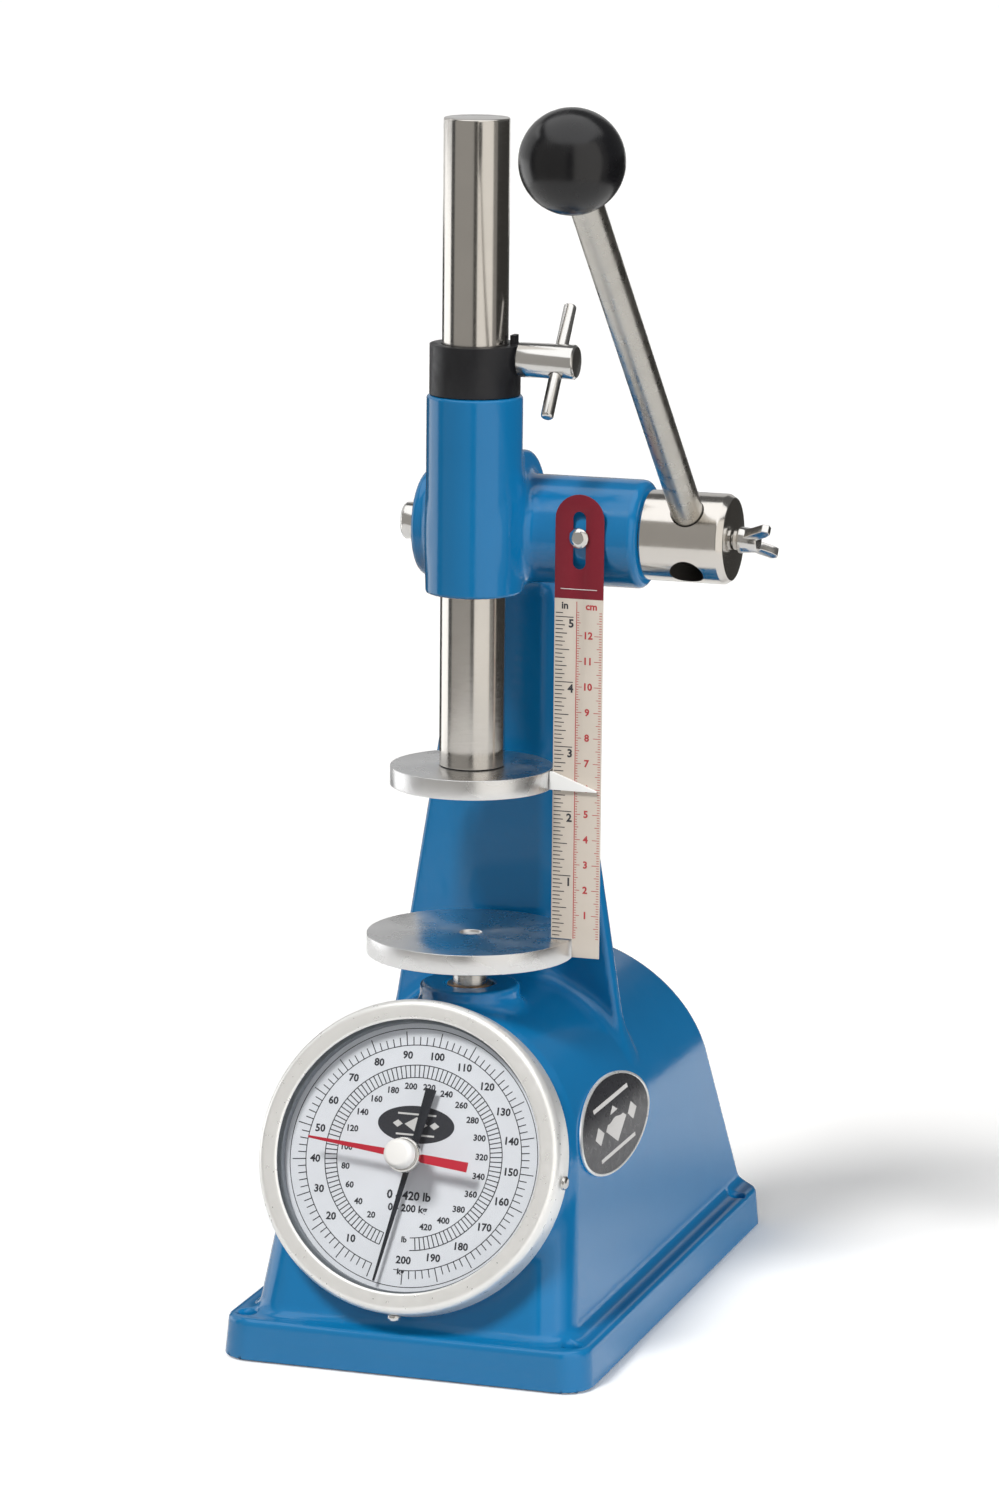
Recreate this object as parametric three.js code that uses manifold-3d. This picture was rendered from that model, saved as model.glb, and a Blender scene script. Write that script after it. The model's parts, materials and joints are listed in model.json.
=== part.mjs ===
// Arbor press with a weighing base, for compressing a spring by hand and reading its force on a dial
// and its length on a ruler.
// Millimetres, +Z up. X = 0, Y = 0 is the axis of the ram; -Y is the front, +X is the lever's side, and
// Z = 0 is the plane that the base stands on.
import * as THREE from "three";
import { mergeVertices } from "three/addons/utils/BufferGeometryUtils.js";
import Module from "manifold-3d";

const wasm = await Module();
wasm.setup();

// ---------------------------------------------------------------- driving dimensions
const GAP = 0.3; // between pieces that touch
const FINE = 44; // sides of a large circle
const ROUND = 24; // sides of a shaft or a boss
const SMALL = 12; // sides of a screw

// Plinth and hollow housing
const PLINTH = { halfTop: 73, halfFoot: 74.2, front: -83, back: 174, draft: 1.2, height: 16.3, corner: 12 };
const HOUSING = { half: 64.3, taper: 0.109, crownR: 57.8, front: -76.5, back: 173, corner: 15, backCorner: 3 };
const FRONT_LEAN = THREE.MathUtils.degToRad(19.5); // the front face and the dial lean back by this
const BACK_LEAN = THREE.MathUtils.degToRad(26); // the back face leans forward by this
const WALL = 7;
const COVER = { thick: 2.7, half: 64, front: -73.5, back: 163.5, corner: 6 };
const BOLT_R = 3.2;
const BOLTS = [[-65.4, -72.8], [65.4, -72.8], [-68.4, 150], [68.4, 150]];
const COVER_SCREWS = [[-60.6, -58], [60.6, -58], [-60.6, 148], [60.6, 148]];

// Column and head
const COLUMN = { front: 46.5, thick: 8, foot: 98, top: 313, halfAt: 40.2, atZ: 156, slope: 0.1607, halfTop: 18.6 };
const RIB = { half: 14, footBack: 106, footZ: 112, drumR: 30 };
const GUIDE = { r: 18.5, bore: 13, bottom: 290.1, top: 367.1 };
const SHAFT_Y = 22.2;
const SHAFT_Z = 313.2;
const TUBE = { r: 21, left: -26.8, right: 63.6, cavity: 13.8, leftBore: 9.3 };

// Rack, pinion and lever
const MODULE = 1.5875; // 16 diametral pitch
const PINION_TEETH = 14;
const PINION_PITCH_R = (MODULE * PINION_TEETH) / 2;
const PINION_HALF = 9;
const SHAFT_R = 8;
const RAM = { r: 12.7, bottom: 215.1, top: 473, rackTurns: [-17, 28] };
const HUB = { r: 17.4, left: 64.2, right: 97.5, hole: 6.6 };
const LEVER = { x: 82.3, up: THREE.MathUtils.degToRad(43.5), r: 6.2, length: 230.8, ballR: 19 };

// Platens, ruler and stop collar
const UPPER = { r: 31.7, top: 222.5, thick: 7.7 };
const LOWER = { r: 40.5, top: 156, thick: 7.9, dimpleR: 4.6, dimple: 1.2 };
const SPINDLE_R = 6.8;
const BOSS = { r: 19.5, top: 136, bore: 9.3 };
const RULER = { left: 32.8, right: 52.2, y: 0.1, thick: 0.8, top: 330.6, foot: 149.2, notchX: 41.2 };
const SLOT = { x: 42.4, bottom: 301.6, top: 324, r: 2.6 };
const COLLAR = { r: 17.5, bottom: 367.4, top: 386.7 };
const CLAMP = { z: 381.4, r: 6.7, left: 17.2, right: 40.7, pinX: 33.4, pinR: 2.5, pinHalf: 24.6 };
const CLAMP_TURN = THREE.MathUtils.degToRad(36.5); // how far the cross pin leans from upright

// Dial gauge, in its own frame: X right, Y up the face, Z out of the face, 0 at the bezel's front
const DIAL_CENTRE = new THREE.Vector3(-1.8, -71.2, 84);
const BEZEL = { r: 60.4, lip: 52.4, bore: 54.6, depth: 14.5, lipThick: 1.2, screwAt: -7.4 };
const BEZEL_SCREWS = [0, 86]; // degrees round from the bottom
const FACE = -8.6; // the printed side of the dial plate
const CASE = { flangeR: 57.8, r: 44, wall: 2, floor: -38, flange: -14.8, seat: -17.3, rim: -10.5 };
const GEAR_MODULE = 0.8;
const ARBOR_TEETH = 10;
const WHEEL_TEETH = 30;
const LAY_TEETH = 10;
const LAY_Y = -((ARBOR_TEETH + WHEEL_TEETH) * GEAR_MODULE) / 2;
const POINTER_ANGLE = THREE.MathUtils.degToRad(191); // clockwise from the top of the dial
const RED_ANGLE = THREE.MathUtils.degToRad(-84.5);

// ---------------------------------------------------------------- colours
const PAINT = { color: 0x1f74ad, roughness: 0.32, metalness: 0.1 };
const STEEL = { color: 0xb9b6ae, roughness: 0.25, metalness: 1 };
const ALUMINIUM = { color: 0xc9c9c6, roughness: 0.35, metalness: 1 };
const BEZEL_FINISH = { color: 0xdedcd4, roughness: 0.45, metalness: 0.6 };
const BRASS = { color: 0xb8943c, roughness: 0.35, metalness: 1 };
const BRONZE = { color: 0x9a6b3a, roughness: 0.4, metalness: 1 };
const ZINC = { color: 0x9fa3a6, roughness: 0.45, metalness: 0.9 };
const BLACK_OXIDE = { color: 0x1d1c1f, roughness: 0.5, metalness: 0.5 };
const BLACK_PLASTIC = { color: 0x121214, roughness: 0.15, metalness: 0 };
const WHITE_PLASTIC = { color: 0xe9e7e0, roughness: 0.4, metalness: 0 };
const DIAL_PAPER = { color: 0xd4d4d8, roughness: 0.7, metalness: 0 };
const RULER_PAINT = { color: 0xd0c6bb, roughness: 0.5, metalness: 0 };
const RED = { color: 0xa5202f, roughness: 0.4, metalness: 0 };
const GLASS = { color: 0xdfe8ea, roughness: 0.05, metalness: 0, transparent: true, opacity: 0.25 };
const RUBBER = { color: 0x222222, roughness: 0.8, metalness: 0 };
const SPRING_STEEL = { color: 0x55575a, roughness: 0.4, metalness: 0.9 };

// ---------------------------------------------------------------- solids
function solid(geometry) {
  const bare = geometry.index ? geometry.clone() : geometry;
  bare.deleteAttribute("normal");
  bare.deleteAttribute("uv");
  const merged = mergeVertices(bare, 1e-4);
  const mesh = new wasm.Mesh({
    numProp: 3,
    vertProperties: new Float32Array(merged.attributes.position.array),
    triVerts: new Uint32Array(merged.index.array),
  });
  return new wasm.Manifold(mesh);
}

function geometryOf(manifold) {
  const { vertProperties, triVerts } = manifold.getMesh();
  const geometry = new THREE.BufferGeometry();
  geometry.setAttribute("position", new THREE.BufferAttribute(vertProperties, 3));
  geometry.setIndex(new THREE.BufferAttribute(triVerts, 1));
  geometry.computeVertexNormals();
  return geometry;
}

const join = (first, ...others) => others.reduce((sum, other) => sum.add(other), first);
const cut = (first, ...others) => others.reduce((rest, other) => rest.subtract(other), first);

function box(x0, x1, y0, y1, z0, z1) {
  const geometry = new THREE.BoxGeometry(x1 - x0, y1 - y0, z1 - z0);
  return solid(geometry.translate((x0 + x1) / 2, (y0 + y1) / 2, (z0 + z1) / 2));
}

// A solid of revolution about Z from [radius, z] points that start and end on the axis, or close.
function turned(profile, sides = ROUND) {
  const points = profile.map(([r, z]) => new THREE.Vector2(r, z));
  const made = solid(new THREE.LatheGeometry(points, sides).rotateX(Math.PI / 2));
  return made.volume() < 0 ? solid(new THREE.LatheGeometry(points.reverse(), sides).rotateX(Math.PI / 2)) : made;
}

function rod(r, z0, z1, sides = ROUND, chamfer = 0) {
  return turned([[0, z0], [r - chamfer, z0], [r, z0 + chamfer], [r, z1 - chamfer], [r - chamfer, z1], [0, z1]]
    .filter(([x, z], i, all) => i === 0 || x !== all[i - 1][0] || z !== all[i - 1][1]), sides);
}

function pipe(outer, inner, z0, z1, sides = ROUND) {
  return turned([[inner, z0], [outer, z0], [outer, z1], [inner, z1], [inner, z0]], sides);
}

// Turns what was made along Z to lie along X, or along Y.
const alongX = (made, y, z) => made.rotate([0, 90, 0]).translate([0, y, z]);
const alongY = (made, x, z) => made.rotate([-90, 0, 0]).translate([x, 0, z]);
const rodX = (r, x0, x1, y, z, sides = ROUND, chamfer = 0) => alongX(rod(r, x0, x1, sides, chamfer), y, z);
const rodY = (r, y0, y1, x, z, sides = SMALL, chamfer = 0) => alongY(rod(r, y0, y1, sides, chamfer), x, z);

// A closed skin over rings with the same number of points, each ring given in turn.
function loft(rings) {
  const count = rings[0].length;
  const positions = rings.flat().flatMap((p) => [p.x, p.y, p.z]);
  const index = [];
  for (let k = 0; k + 1 < rings.length; k++)
    for (let i = 0; i < count; i++) {
      const a = k * count + i;
      const b = k * count + ((i + 1) % count);
      index.push(a, b, b + count, a, b + count, a + count);
    }
  const last = (rings.length - 1) * count;
  for (let i = 1; i + 1 < count; i++) {
    index.push(0, i + 1, i);
    index.push(last, last + i, last + i + 1);
  }
  const geometry = new THREE.BufferGeometry();
  geometry.setAttribute("position", new THREE.Float32BufferAttribute(positions, 3));
  geometry.setIndex(index);
  const made = solid(geometry);
  if (made.volume() > 0) return made;
  geometry.setIndex(index.reverse());
  return solid(geometry);
}

// An outline of [a, b] points, extruded along Z from z0 to z1.
function plate(outline, z0, z1) {
  const shape = outline instanceof THREE.Shape ? outline : new THREE.Shape(outline.map(([a, b]) => new THREE.Vector2(a, b)));
  const geometry = new THREE.ExtrudeGeometry(shape, { depth: z1 - z0, bevelEnabled: false, curveSegments: 8 });
  return solid(geometry.translate(0, 0, z0));
}

// Stands a plate made in X and Y up, so that its Y becomes Z and its thickness runs along Y.
const upright = (made) => made.rotate([90, 0, 0]).scale([1, -1, 1]);

function roundedRectangle(x0, x1, y0, y1, corner) {
  const points = [];
  const centres = [[x1, y1, 0], [x0, y1, 1], [x0, y0, 2], [x1, y0, 3]];
  for (const [x, y, quarter] of centres)
    for (let i = 0; i <= 4; i++) {
      const angle = ((quarter + i / 4) * Math.PI) / 2;
      const cx = x - Math.sign(x - (x0 + x1) / 2) * corner;
      const cy = y - Math.sign(y - (y0 + y1) / 2) * corner;
      points.push([cx + corner * Math.cos(angle), cy + corner * Math.sin(angle)]);
    }
  return points;
}

// ---------------------------------------------------------------- gears
const PRESSURE = THREE.MathUtils.degToRad(20);
const involute = (angle) => Math.tan(angle) - angle;

// A spur gear's outline with a tooth centred on +X. Backlash is the play at the pitch circle.
function gearOutline(teeth, module, addendum, dedendum, backlash) {
  const pitchR = (teeth * module) / 2;
  const baseR = pitchR * Math.cos(PRESSURE);
  const halfTooth = Math.PI / (2 * teeth) - backlash / (2 * pitchR);
  const halfAt = (r) => halfTooth + involute(PRESSURE) - involute(Math.acos(Math.min(1, baseR / r)));
  const rootR = pitchR - dedendum * module;
  const tipR = pitchR + addendum * module;
  const flank = [rootR];
  for (let i = 0; i <= 2; i++) flank.push(THREE.MathUtils.lerp(Math.max(baseR, rootR + 0.01), tipR, i / 2));
  const points = [];
  for (let tooth = 0; tooth < teeth; tooth++) {
    const middle = (tooth * 2 * Math.PI) / teeth;
    const polar = (r, side) => [r * Math.cos(middle + side * halfAt(r)), r * Math.sin(middle + side * halfAt(r))];
    for (const r of flank) points.push(polar(r, -1));
    for (const r of [...flank].reverse()) points.push(polar(r, 1));
  }
  return points;
}

// The teeth of a rack on the pitch line x = 0, pointing to +X: [x, along] points from one end to the other.
function rackTeeth(module, first, last, addendum, dedendum, backlash, offset) {
  const pitch = Math.PI * module;
  const points = [];
  for (let k = first; k <= last; k++) {
    const middle = offset + k * pitch;
    const half = (x) => pitch / 4 - backlash / 2 - x * Math.tan(PRESSURE);
    const [root, tip] = [-dedendum * module, addendum * module];
    points.push([root, middle - half(root)], [tip, middle - half(tip)], [tip, middle + half(tip)], [root, middle + half(root)]);
  }
  return points;
}

// ---------------------------------------------------------------- frame casting
// A cross-section of the housing, an arch with sloping sides, drawn in by an inset; y(z) is its place.
function archRing(inset, y, footZ) {
  const lean = Math.atan(HOUSING.taper);
  const crownR = HOUSING.crownR - inset;
  const half = HOUSING.half - inset / Math.cos(lean);
  const crownZ = PLINTH.height + (half - crownR / Math.cos(lean)) / HOUSING.taper;
  const right = [new THREE.Vector2(half - HOUSING.taper * (footZ - PLINTH.height), footZ)];
  const steps = 10;
  for (let i = 0; i <= steps; i++) {
    const angle = lean + ((Math.PI / 2 - lean) * i) / steps;
    right.push(new THREE.Vector2(crownR * Math.cos(angle), crownZ + crownR * Math.sin(angle)));
  }
  const left = right.slice(0, -1).reverse().map((p) => new THREE.Vector2(-p.x, p.y));
  return [...right, ...left].map((p) => new THREE.Vector3(p.x, y(p.y), p.y));
}

// The housing's outer form, or with a wall thickness the hollow inside it.
function housingForm(wall, footZ) {
  const frontAt = (inward) => (z) => HOUSING.front + inward + wall / Math.cos(FRONT_LEAN)
    + Math.tan(FRONT_LEAN) * (z - PLINTH.height);
  const backAt = (inward) => (z) => HOUSING.back - inward - wall / Math.cos(BACK_LEAN)
    - Math.tan(BACK_LEAN) * (z - PLINTH.height);
  const rings = [];
  const steps = 4;
  for (let i = 0; i <= steps; i++) {
    const angle = (Math.PI / 2) * (i / steps);
    const r = Math.max(HOUSING.corner - wall, 3);
    rings.push(archRing(wall + r * (1 - Math.sin(angle)), frontAt(r * (1 - Math.cos(angle))), footZ));
  }
  for (let i = steps; i >= 0; i--) {
    const angle = (Math.PI / 2) * (i / steps);
    const r = Math.max(HOUSING.backCorner - wall, 3);
    rings.push(archRing(wall + r * (1 - Math.sin(angle)), backAt(r * (1 - Math.cos(angle))), footZ));
  }
  return loft(rings);
}

function plinth() {
  const ring = (half, grow, z, corner) => roundedRectangle(-half, half, PLINTH.front - grow, PLINTH.back + grow, corner)
    .map(([x, y]) => new THREE.Vector3(x, y, z));
  return loft([
    ring(PLINTH.halfFoot, PLINTH.draft, 0, PLINTH.corner),
    ring(PLINTH.halfTop, 0, PLINTH.height - 1.2, PLINTH.corner),
    ring(PLINTH.halfTop - 1.2, -1.2, PLINTH.height, PLINTH.corner - 1.2),
  ]);
}

// Moves a solid from the dial's own frame to the object's.
function fromDial(made) {
  return made.rotate([90 - THREE.MathUtils.radToDeg(FRONT_LEAN), 0, 0]).translate(DIAL_CENTRE.toArray());
}

const columnHalf = (z) => Math.max(COLUMN.halfTop, COLUMN.halfAt - COLUMN.slope * (z - COLUMN.atZ));

function column() {
  const narrowZ = COLUMN.atZ + (COLUMN.halfAt - COLUMN.halfTop) / COLUMN.slope;
  const right = [[columnHalf(COLUMN.foot), COLUMN.foot], [COLUMN.halfTop, narrowZ], [COLUMN.halfTop, COLUMN.top]];
  const outline = [...right, ...right.map(([x, z]) => [-x, z]).reverse()];
  const web = upright(plate(outline, COLUMN.front, COLUMN.front + COLUMN.thick));
  const back = SHAFT_Y + RIB.drumR;
  const rib = plate([
    [COLUMN.front + 2, RIB.footZ - 14], [RIB.footBack, RIB.footZ - 14], [RIB.footBack, RIB.footZ],
    [back, SHAFT_Z], [COLUMN.front + 2, SHAFT_Z],
  ], -RIB.half, RIB.half);
  const ribAlongX = rib.rotate([0, 90, 0]).rotate([90, 0, 0]);
  return join(web, ribAlongX);
}

function head() {
  const guide = rod(GUIDE.r, GUIDE.bottom, GUIDE.top, FINE, 0.8);
  const tube = rodX(TUBE.r, -2, TUBE.right, SHAFT_Y, SHAFT_Z, FINE, 2);
  const boss = rodX(TUBE.r, TUBE.left, 2, SHAFT_Y, SHAFT_Z, FINE, 2);
  const drum = rodX(RIB.drumR, -RIB.half, RIB.half, SHAFT_Y, SHAFT_Z, FINE, 1.5);
  const below = box(-60, 60, -60, COLUMN.front + 1, SHAFT_Z - RIB.drumR - 1, GUIDE.bottom);
  return join(guide, tube, boss, cut(drum, below));
}

function frameCasting() {
  const pad = fromDial(rod(CASE.flangeR - 0.8, -62, CASE.seat - GAP, FINE));
  const boss = rod(BOSS.r, 110, BOSS.top, FINE, 1);
  const outside = join(housingForm(0, 8), plinth(), boss, pad.intersect(box(-56, 56, -90, -5, 22, 140)));
  const hollow = join(housingForm(WALL, 6), box(-57, 57, -68, 158, -1, 8));
  const rebate = plate(roundedRectangle(-COVER.half - GAP, COVER.half + GAP, COVER.front - GAP,
    COVER.back + GAP, COVER.corner), -1, COVER.thick + GAP);
  const lugs = COVER_SCREWS.map(([x, y]) => box(x - 5, x + 5, y - 6, y + 6, COVER.thick + GAP, 14));
  const base = join(cut(outside, hollow), ...lugs.map((lug) => lug.intersect(housingForm(0, 8).add(plinth()))));
  const upper = cut(join(column(), head()), housingForm(WALL - 1, 6));
  const cuts = [
    rebate,
    rod(BOSS.bore, 100, BOSS.top + 1, ROUND),
    fromDial(rod(CASE.r + 0.6, -60, -10, FINE)),
    rod(GUIDE.bore, GUIDE.bottom - 1, GUIDE.top + 1, FINE),
    rodX(TUBE.cavity, -PINION_HALF - 1.5, TUBE.right + 1, SHAFT_Y, SHAFT_Z, FINE),
    rodX(TUBE.leftBore, TUBE.left - 1, 0, SHAFT_Y, SHAFT_Z, ROUND),
    rodY(2.3, SHAFT_Y - TUBE.r - 2, SHAFT_Y - TUBE.cavity + 1, SLOT.x, SHAFT_Z + 0.6),
    ...BOLTS.map(([x, y]) => rod(BOLT_R, -1, PLINTH.height + 1, SMALL).translate([x, y, 0])),
    ...COVER_SCREWS.map(([x, y]) => rod(1.9, 0, 10, SMALL).translate([x, y, 0])),
  ];
  return cut(join(base, upper), ...cuts);
}

function bottomCover() {
  const sheet = plate(roundedRectangle(-COVER.half, COVER.half, COVER.front, COVER.back, COVER.corner), 0, COVER.thick);
  return cut(sheet, ...COVER_SCREWS.map(([x, y]) => rod(3.6, -1, COVER.thick + 1, SMALL).translate([x, y, 0])));
}

function coverScrew() {
  return turned([[0, 0.25], [3.2, 0.25], [3.2, 1.4], [1.6, 2.4], [1.6, 9], [0, 9]], SMALL);
}

// ---------------------------------------------------------------- weighing base
function lowerPlaten() {
  return turned([
    [0, LOWER.top - LOWER.dimple], [LOWER.dimpleR, LOWER.top - LOWER.dimple], [LOWER.dimpleR, LOWER.top],
    [LOWER.r - 0.5, LOWER.top], [LOWER.r, LOWER.top - 0.5], [LOWER.r, LOWER.top - LOWER.thick + 0.5],
    [LOWER.r - 0.5, LOWER.top - LOWER.thick], [0, LOWER.top - LOWER.thick],
  ], FINE);
}

function spindle() {
  const top = LOWER.top - LOWER.thick - GAP;
  return turned([[0, 34], [4.6, 34], [5.2, 35], [5.2, 65.5], [SPINDLE_R, 65.5], [SPINDLE_R, top], [0, top]]);
}

const spindleBush = () => pipe(BOSS.bore - GAP, SPINDLE_R + 0.06, 110, BOSS.top - 0.2);
const springCap = () => pipe(22, 5.3, 60.6, 65.2);

function springSeat() {
  return turned([[5.9, 3], [24, 3], [24, 8], [11.5, 8], [11.5, 13], [5.9, 13], [5.9, 3]]);
}

// A coil spring between heights, with wire of that radius.
function coil(radius, wire, bottom, top, turns) {
  class Helix extends THREE.Curve {
    getPoint(t, target = new THREE.Vector3()) {
      const angle = t * turns * 2 * Math.PI;
      return target.set(radius * Math.cos(angle), radius * Math.sin(angle), THREE.MathUtils.lerp(bottom, top, t));
    }
  }
  const section = new THREE.Shape();
  section.absarc(0, 0, wire, 0, 2 * Math.PI);
  return solid(new THREE.ExtrudeGeometry(section, { extrudePath: new Helix(), steps: turns * 14, curveSegments: 3 }));
}

function spindleArm() {
  const ring = pipe(12.5, SPINDLE_R + 0.06, 72.5, 80.5);
  const arm = cut(box(-12, -6.3, -37.5, -2, 75, 79), rod(SPINDLE_R + 2, 70, 85));
  return join(ring, arm);
}

// ---------------------------------------------------------------- dial gauge, in the dial's frame
function gaugeCase() {
  const { flangeR, r, wall, floor, flange, seat, rim } = CASE;
  const cup = turned([
    [0, floor], [r, floor], [r, seat], [flangeR, seat], [flangeR, flange], [BEZEL.bore - 0.6, flange],
    [BEZEL.bore - 0.6, rim], [46, rim], [46, seat + 2], [r - wall, seat + 2], [r - wall, floor + wall], [0, floor + wall],
  ], FINE);
  return cut(cup, box(-14, 4, -15, 17, floor - 1, floor + wall + 1));
}

function bezel() {
  const { r, lip, bore, depth, lipThick } = BEZEL;
  const ring = turned([
    [lip, -0.4], [lip + 0.4, 0], [r - 1.4, 0], [r, -1.4], [r, -depth], [bore, -depth], [bore, -lipThick],
    [lip, -lipThick], [lip, -0.4],
  ], FINE);
  return cut(ring, ...BEZEL_SCREWS.map((turn) => rodY(1.9, -r - 2, -bore + 3, 0, 0).translate([0, 0, BEZEL.screwAt])
    .rotate([0, 0, turn])));
}

const lens = () => rod(BEZEL.bore - GAP, -3.6, -BEZEL.lipThick - GAP, FINE).subtract(rod(1.6, -5, 1, SMALL));
const lensGasket = () => pipe(BEZEL.bore - GAP, 51.5, -8.3, -3.9, FINE);
const dialPlate = () => rod(BEZEL.bore - 0.9, CASE.rim + GAP, FACE, FINE).subtract(rod(2.4, -12, 0, SMALL));
const movementPlate = () => cut(rod(CASE.r - CASE.wall - 0.4, -21.5, -19.5, FINE), rod(1.7, -23, -18, SMALL),
  rod(1.7, -23, -18, SMALL).translate([0, LAY_Y, 0]));

function movementBridge() {
  const bar = box(-3.6, 3.6, -37, 18, -35.6, -34);
  const legs = [box(-3.6, 3.6, -37, -31.5, -35.6, -21.8), box(-3.6, 3.6, 9, 14, -35.6, -21.8)];
  const pivots = [rod(1.7, -37, -33, SMALL), rod(1.7, -37, -33, SMALL).translate([0, LAY_Y, 0])];
  return cut(join(bar, ...legs), ...pivots);
}

function pointerArbor() {
  const gear = plate(gearOutline(ARBOR_TEETH, GEAR_MODULE, 0.85, 1.15, 0.3), -27.5, -23.5);
  return join(rod(1.4, -35.2, -4.1, SMALL), gear.rotate([0, 0, 90 - 180 / ARBOR_TEETH]));
}

function layGear() {
  const wheel = plate(gearOutline(WHEEL_TEETH, GEAR_MODULE, 0.85, 1.15, 0.3), -26.5, -24.5);
  const pinion = plate(gearOutline(LAY_TEETH, GEAR_MODULE, 0.85, 1.15, 0.3), -33.2, -26.5);
  const staff = rod(1.4, -35.2, -19.8, SMALL);
  return join(staff, wheel.rotate([0, 0, 90]), pinion.rotate([0, 0, 180]));
}

// The rack stands beside the small pinion, its teeth pointing to +X, with a lug over the spindle's arm.
function gaugeRack() {
  const pitch = Math.PI * GEAR_MODULE;
  const teeth = rackTeeth(GEAR_MODULE, -3, 5, 0.85, 1.15, 0.3, pitch / 2);
  const back = -5.6;
  const [bottom, top] = [-14, 27.5];
  const outline = [[back, bottom], [-1.15 * GEAR_MODULE, bottom], ...teeth, [-1.15 * GEAR_MODULE, top], [back, top]];
  const bar = plate(outline, -33, -29).translate([-(LAY_TEETH * GEAR_MODULE) / 2, LAY_Y, 0]);
  return join(bar, box(-10, -4.9, 8.2, 11.5, -37.6, -29));
}

// A flat hand pointing up the dial before it is turned: widths at its tip, hub and tail.
function hand({ tip, tail, tipHalf, waistHalf, tailHalf, hubR, z0, z1, hole }) {
  const blade = plate([[-tailHalf, -tail], [tailHalf, -tail], [waistHalf, 0], [tipHalf, tip], [-tipHalf, tip],
    [-waistHalf, 0]], z0, z1);
  return cut(join(blade, rod(hubR, z0, z1, SMALL)), rod(hole, z0 - 1, z1 + 1, SMALL));
}

const mainPointer = () => hand({
  tip: 49.2, tail: 27, tipHalf: 0.4, waistHalf: 1.2, tailHalf: 2.1, hubR: 4, z0: -5.9, z1: -5.1, hole: 1.7,
});
const redHand = () => hand({
  tip: 40, tail: 25, tipHalf: 0.45, waistHalf: 1.5, tailHalf: 1.9, hubR: 4.2, z0: 0.5, z1: 1.2, hole: 1.7,
});
const handCollar = () => cut(rod(6.8, 1.5, 5.6, ROUND, 0.5), rod(1.7, 0, 7, SMALL));
const handKnob = () => turned([[0, -2.8], [1.35, -2.8], [1.35, 5.9], [5.7, 5.9], [5.7, 11.6], [4.7, 12.8], [0, 12.8]]);
// One of the screws round the bezel, standing out from its rim.
function bezelScrew(turn) {
  const screw = turned([[0, 54.5], [1.6, 54.5], [1.6, 60.7], [2.7, 60.7], [2.7, 62], [1.7, 62.8], [0, 62.8]], SMALL);
  return screw.rotate([90, 0, 0]).translate([0, 0, BEZEL.screwAt]).rotate([0, 0, turn]);
}

// ---------------------------------------------------------------- ruler and platens
function ruler() {
  const { left, right, y, thick, top, foot, notchX } = RULER;
  const foot2 = LOWER.top + GAP;
  const middle = (left + right) / 2;
  const r = (right - left) / 2;
  const outline = new THREE.Shape();
  outline.moveTo(left, foot2);
  outline.lineTo(notchX, foot2);
  outline.lineTo(notchX, foot);
  outline.lineTo(right, foot);
  outline.lineTo(right, top - r);
  outline.absarc(middle, top - r, r, 0, Math.PI);
  outline.lineTo(left, foot2);
  const slot = new THREE.Path();
  slot.absarc(SLOT.x, SLOT.top - SLOT.r, SLOT.r, 0, Math.PI);
  slot.absarc(SLOT.x, SLOT.bottom + SLOT.r, SLOT.r, Math.PI, 2 * Math.PI);
  outline.holes.push(slot);
  return upright(plate(outline, y, y + thick));
}

function rulerScrew() {
  const y = RULER.y;
  const profile = [[0, y - 2.1], [2.4, y - 2.1], [4.1, y - 0.9], [4.1, y - 0.3], [1.9, y - 0.3], [1.9, y + 6.4], [0, y + 6.4]];
  return alongY(turned(profile, SMALL), SLOT.x, SHAFT_Z + 0.6);
}

function upperPlaten() {
  const bottom = UPPER.top - UPPER.thick;
  return cut(turned([
    [0, bottom], [UPPER.r - 0.5, bottom], [UPPER.r, bottom + 0.5], [UPPER.r, UPPER.top - 0.5],
    [UPPER.r - 0.5, UPPER.top], [0, UPPER.top],
  ], FINE), rod(7.3, RAM.bottom, UPPER.top + 1), turned([[0, bottom - 1], [5.2, bottom - 1], [5.2, bottom + 0.2],
    [2.4, bottom + 3], [2.4, UPPER.top], [0, UPPER.top]], SMALL));
}

const platenScrew = () => turned([[0, 214.9], [4.9, 214.9], [4.9, 215.3], [2, 218], [2, 219.9], [0, 219.9]], SMALL);

// The white finger on the upper platen's rim that passes in front of the ruler.
function platenPointer() {
  const bottom = UPPER.top - UPPER.thick;
  const inner = Math.sqrt(UPPER.r ** 2 - 2) + GAP;
  const outline = [[inner, bottom + 0.4], [50.8, bottom + 0.4], [50.8, bottom + 1], [inner + 1.4, UPPER.top - 0.2],
    [inner, UPPER.top - 0.2]];
  return upright(plate(outline, -1.5, -0.3));
}

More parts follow.
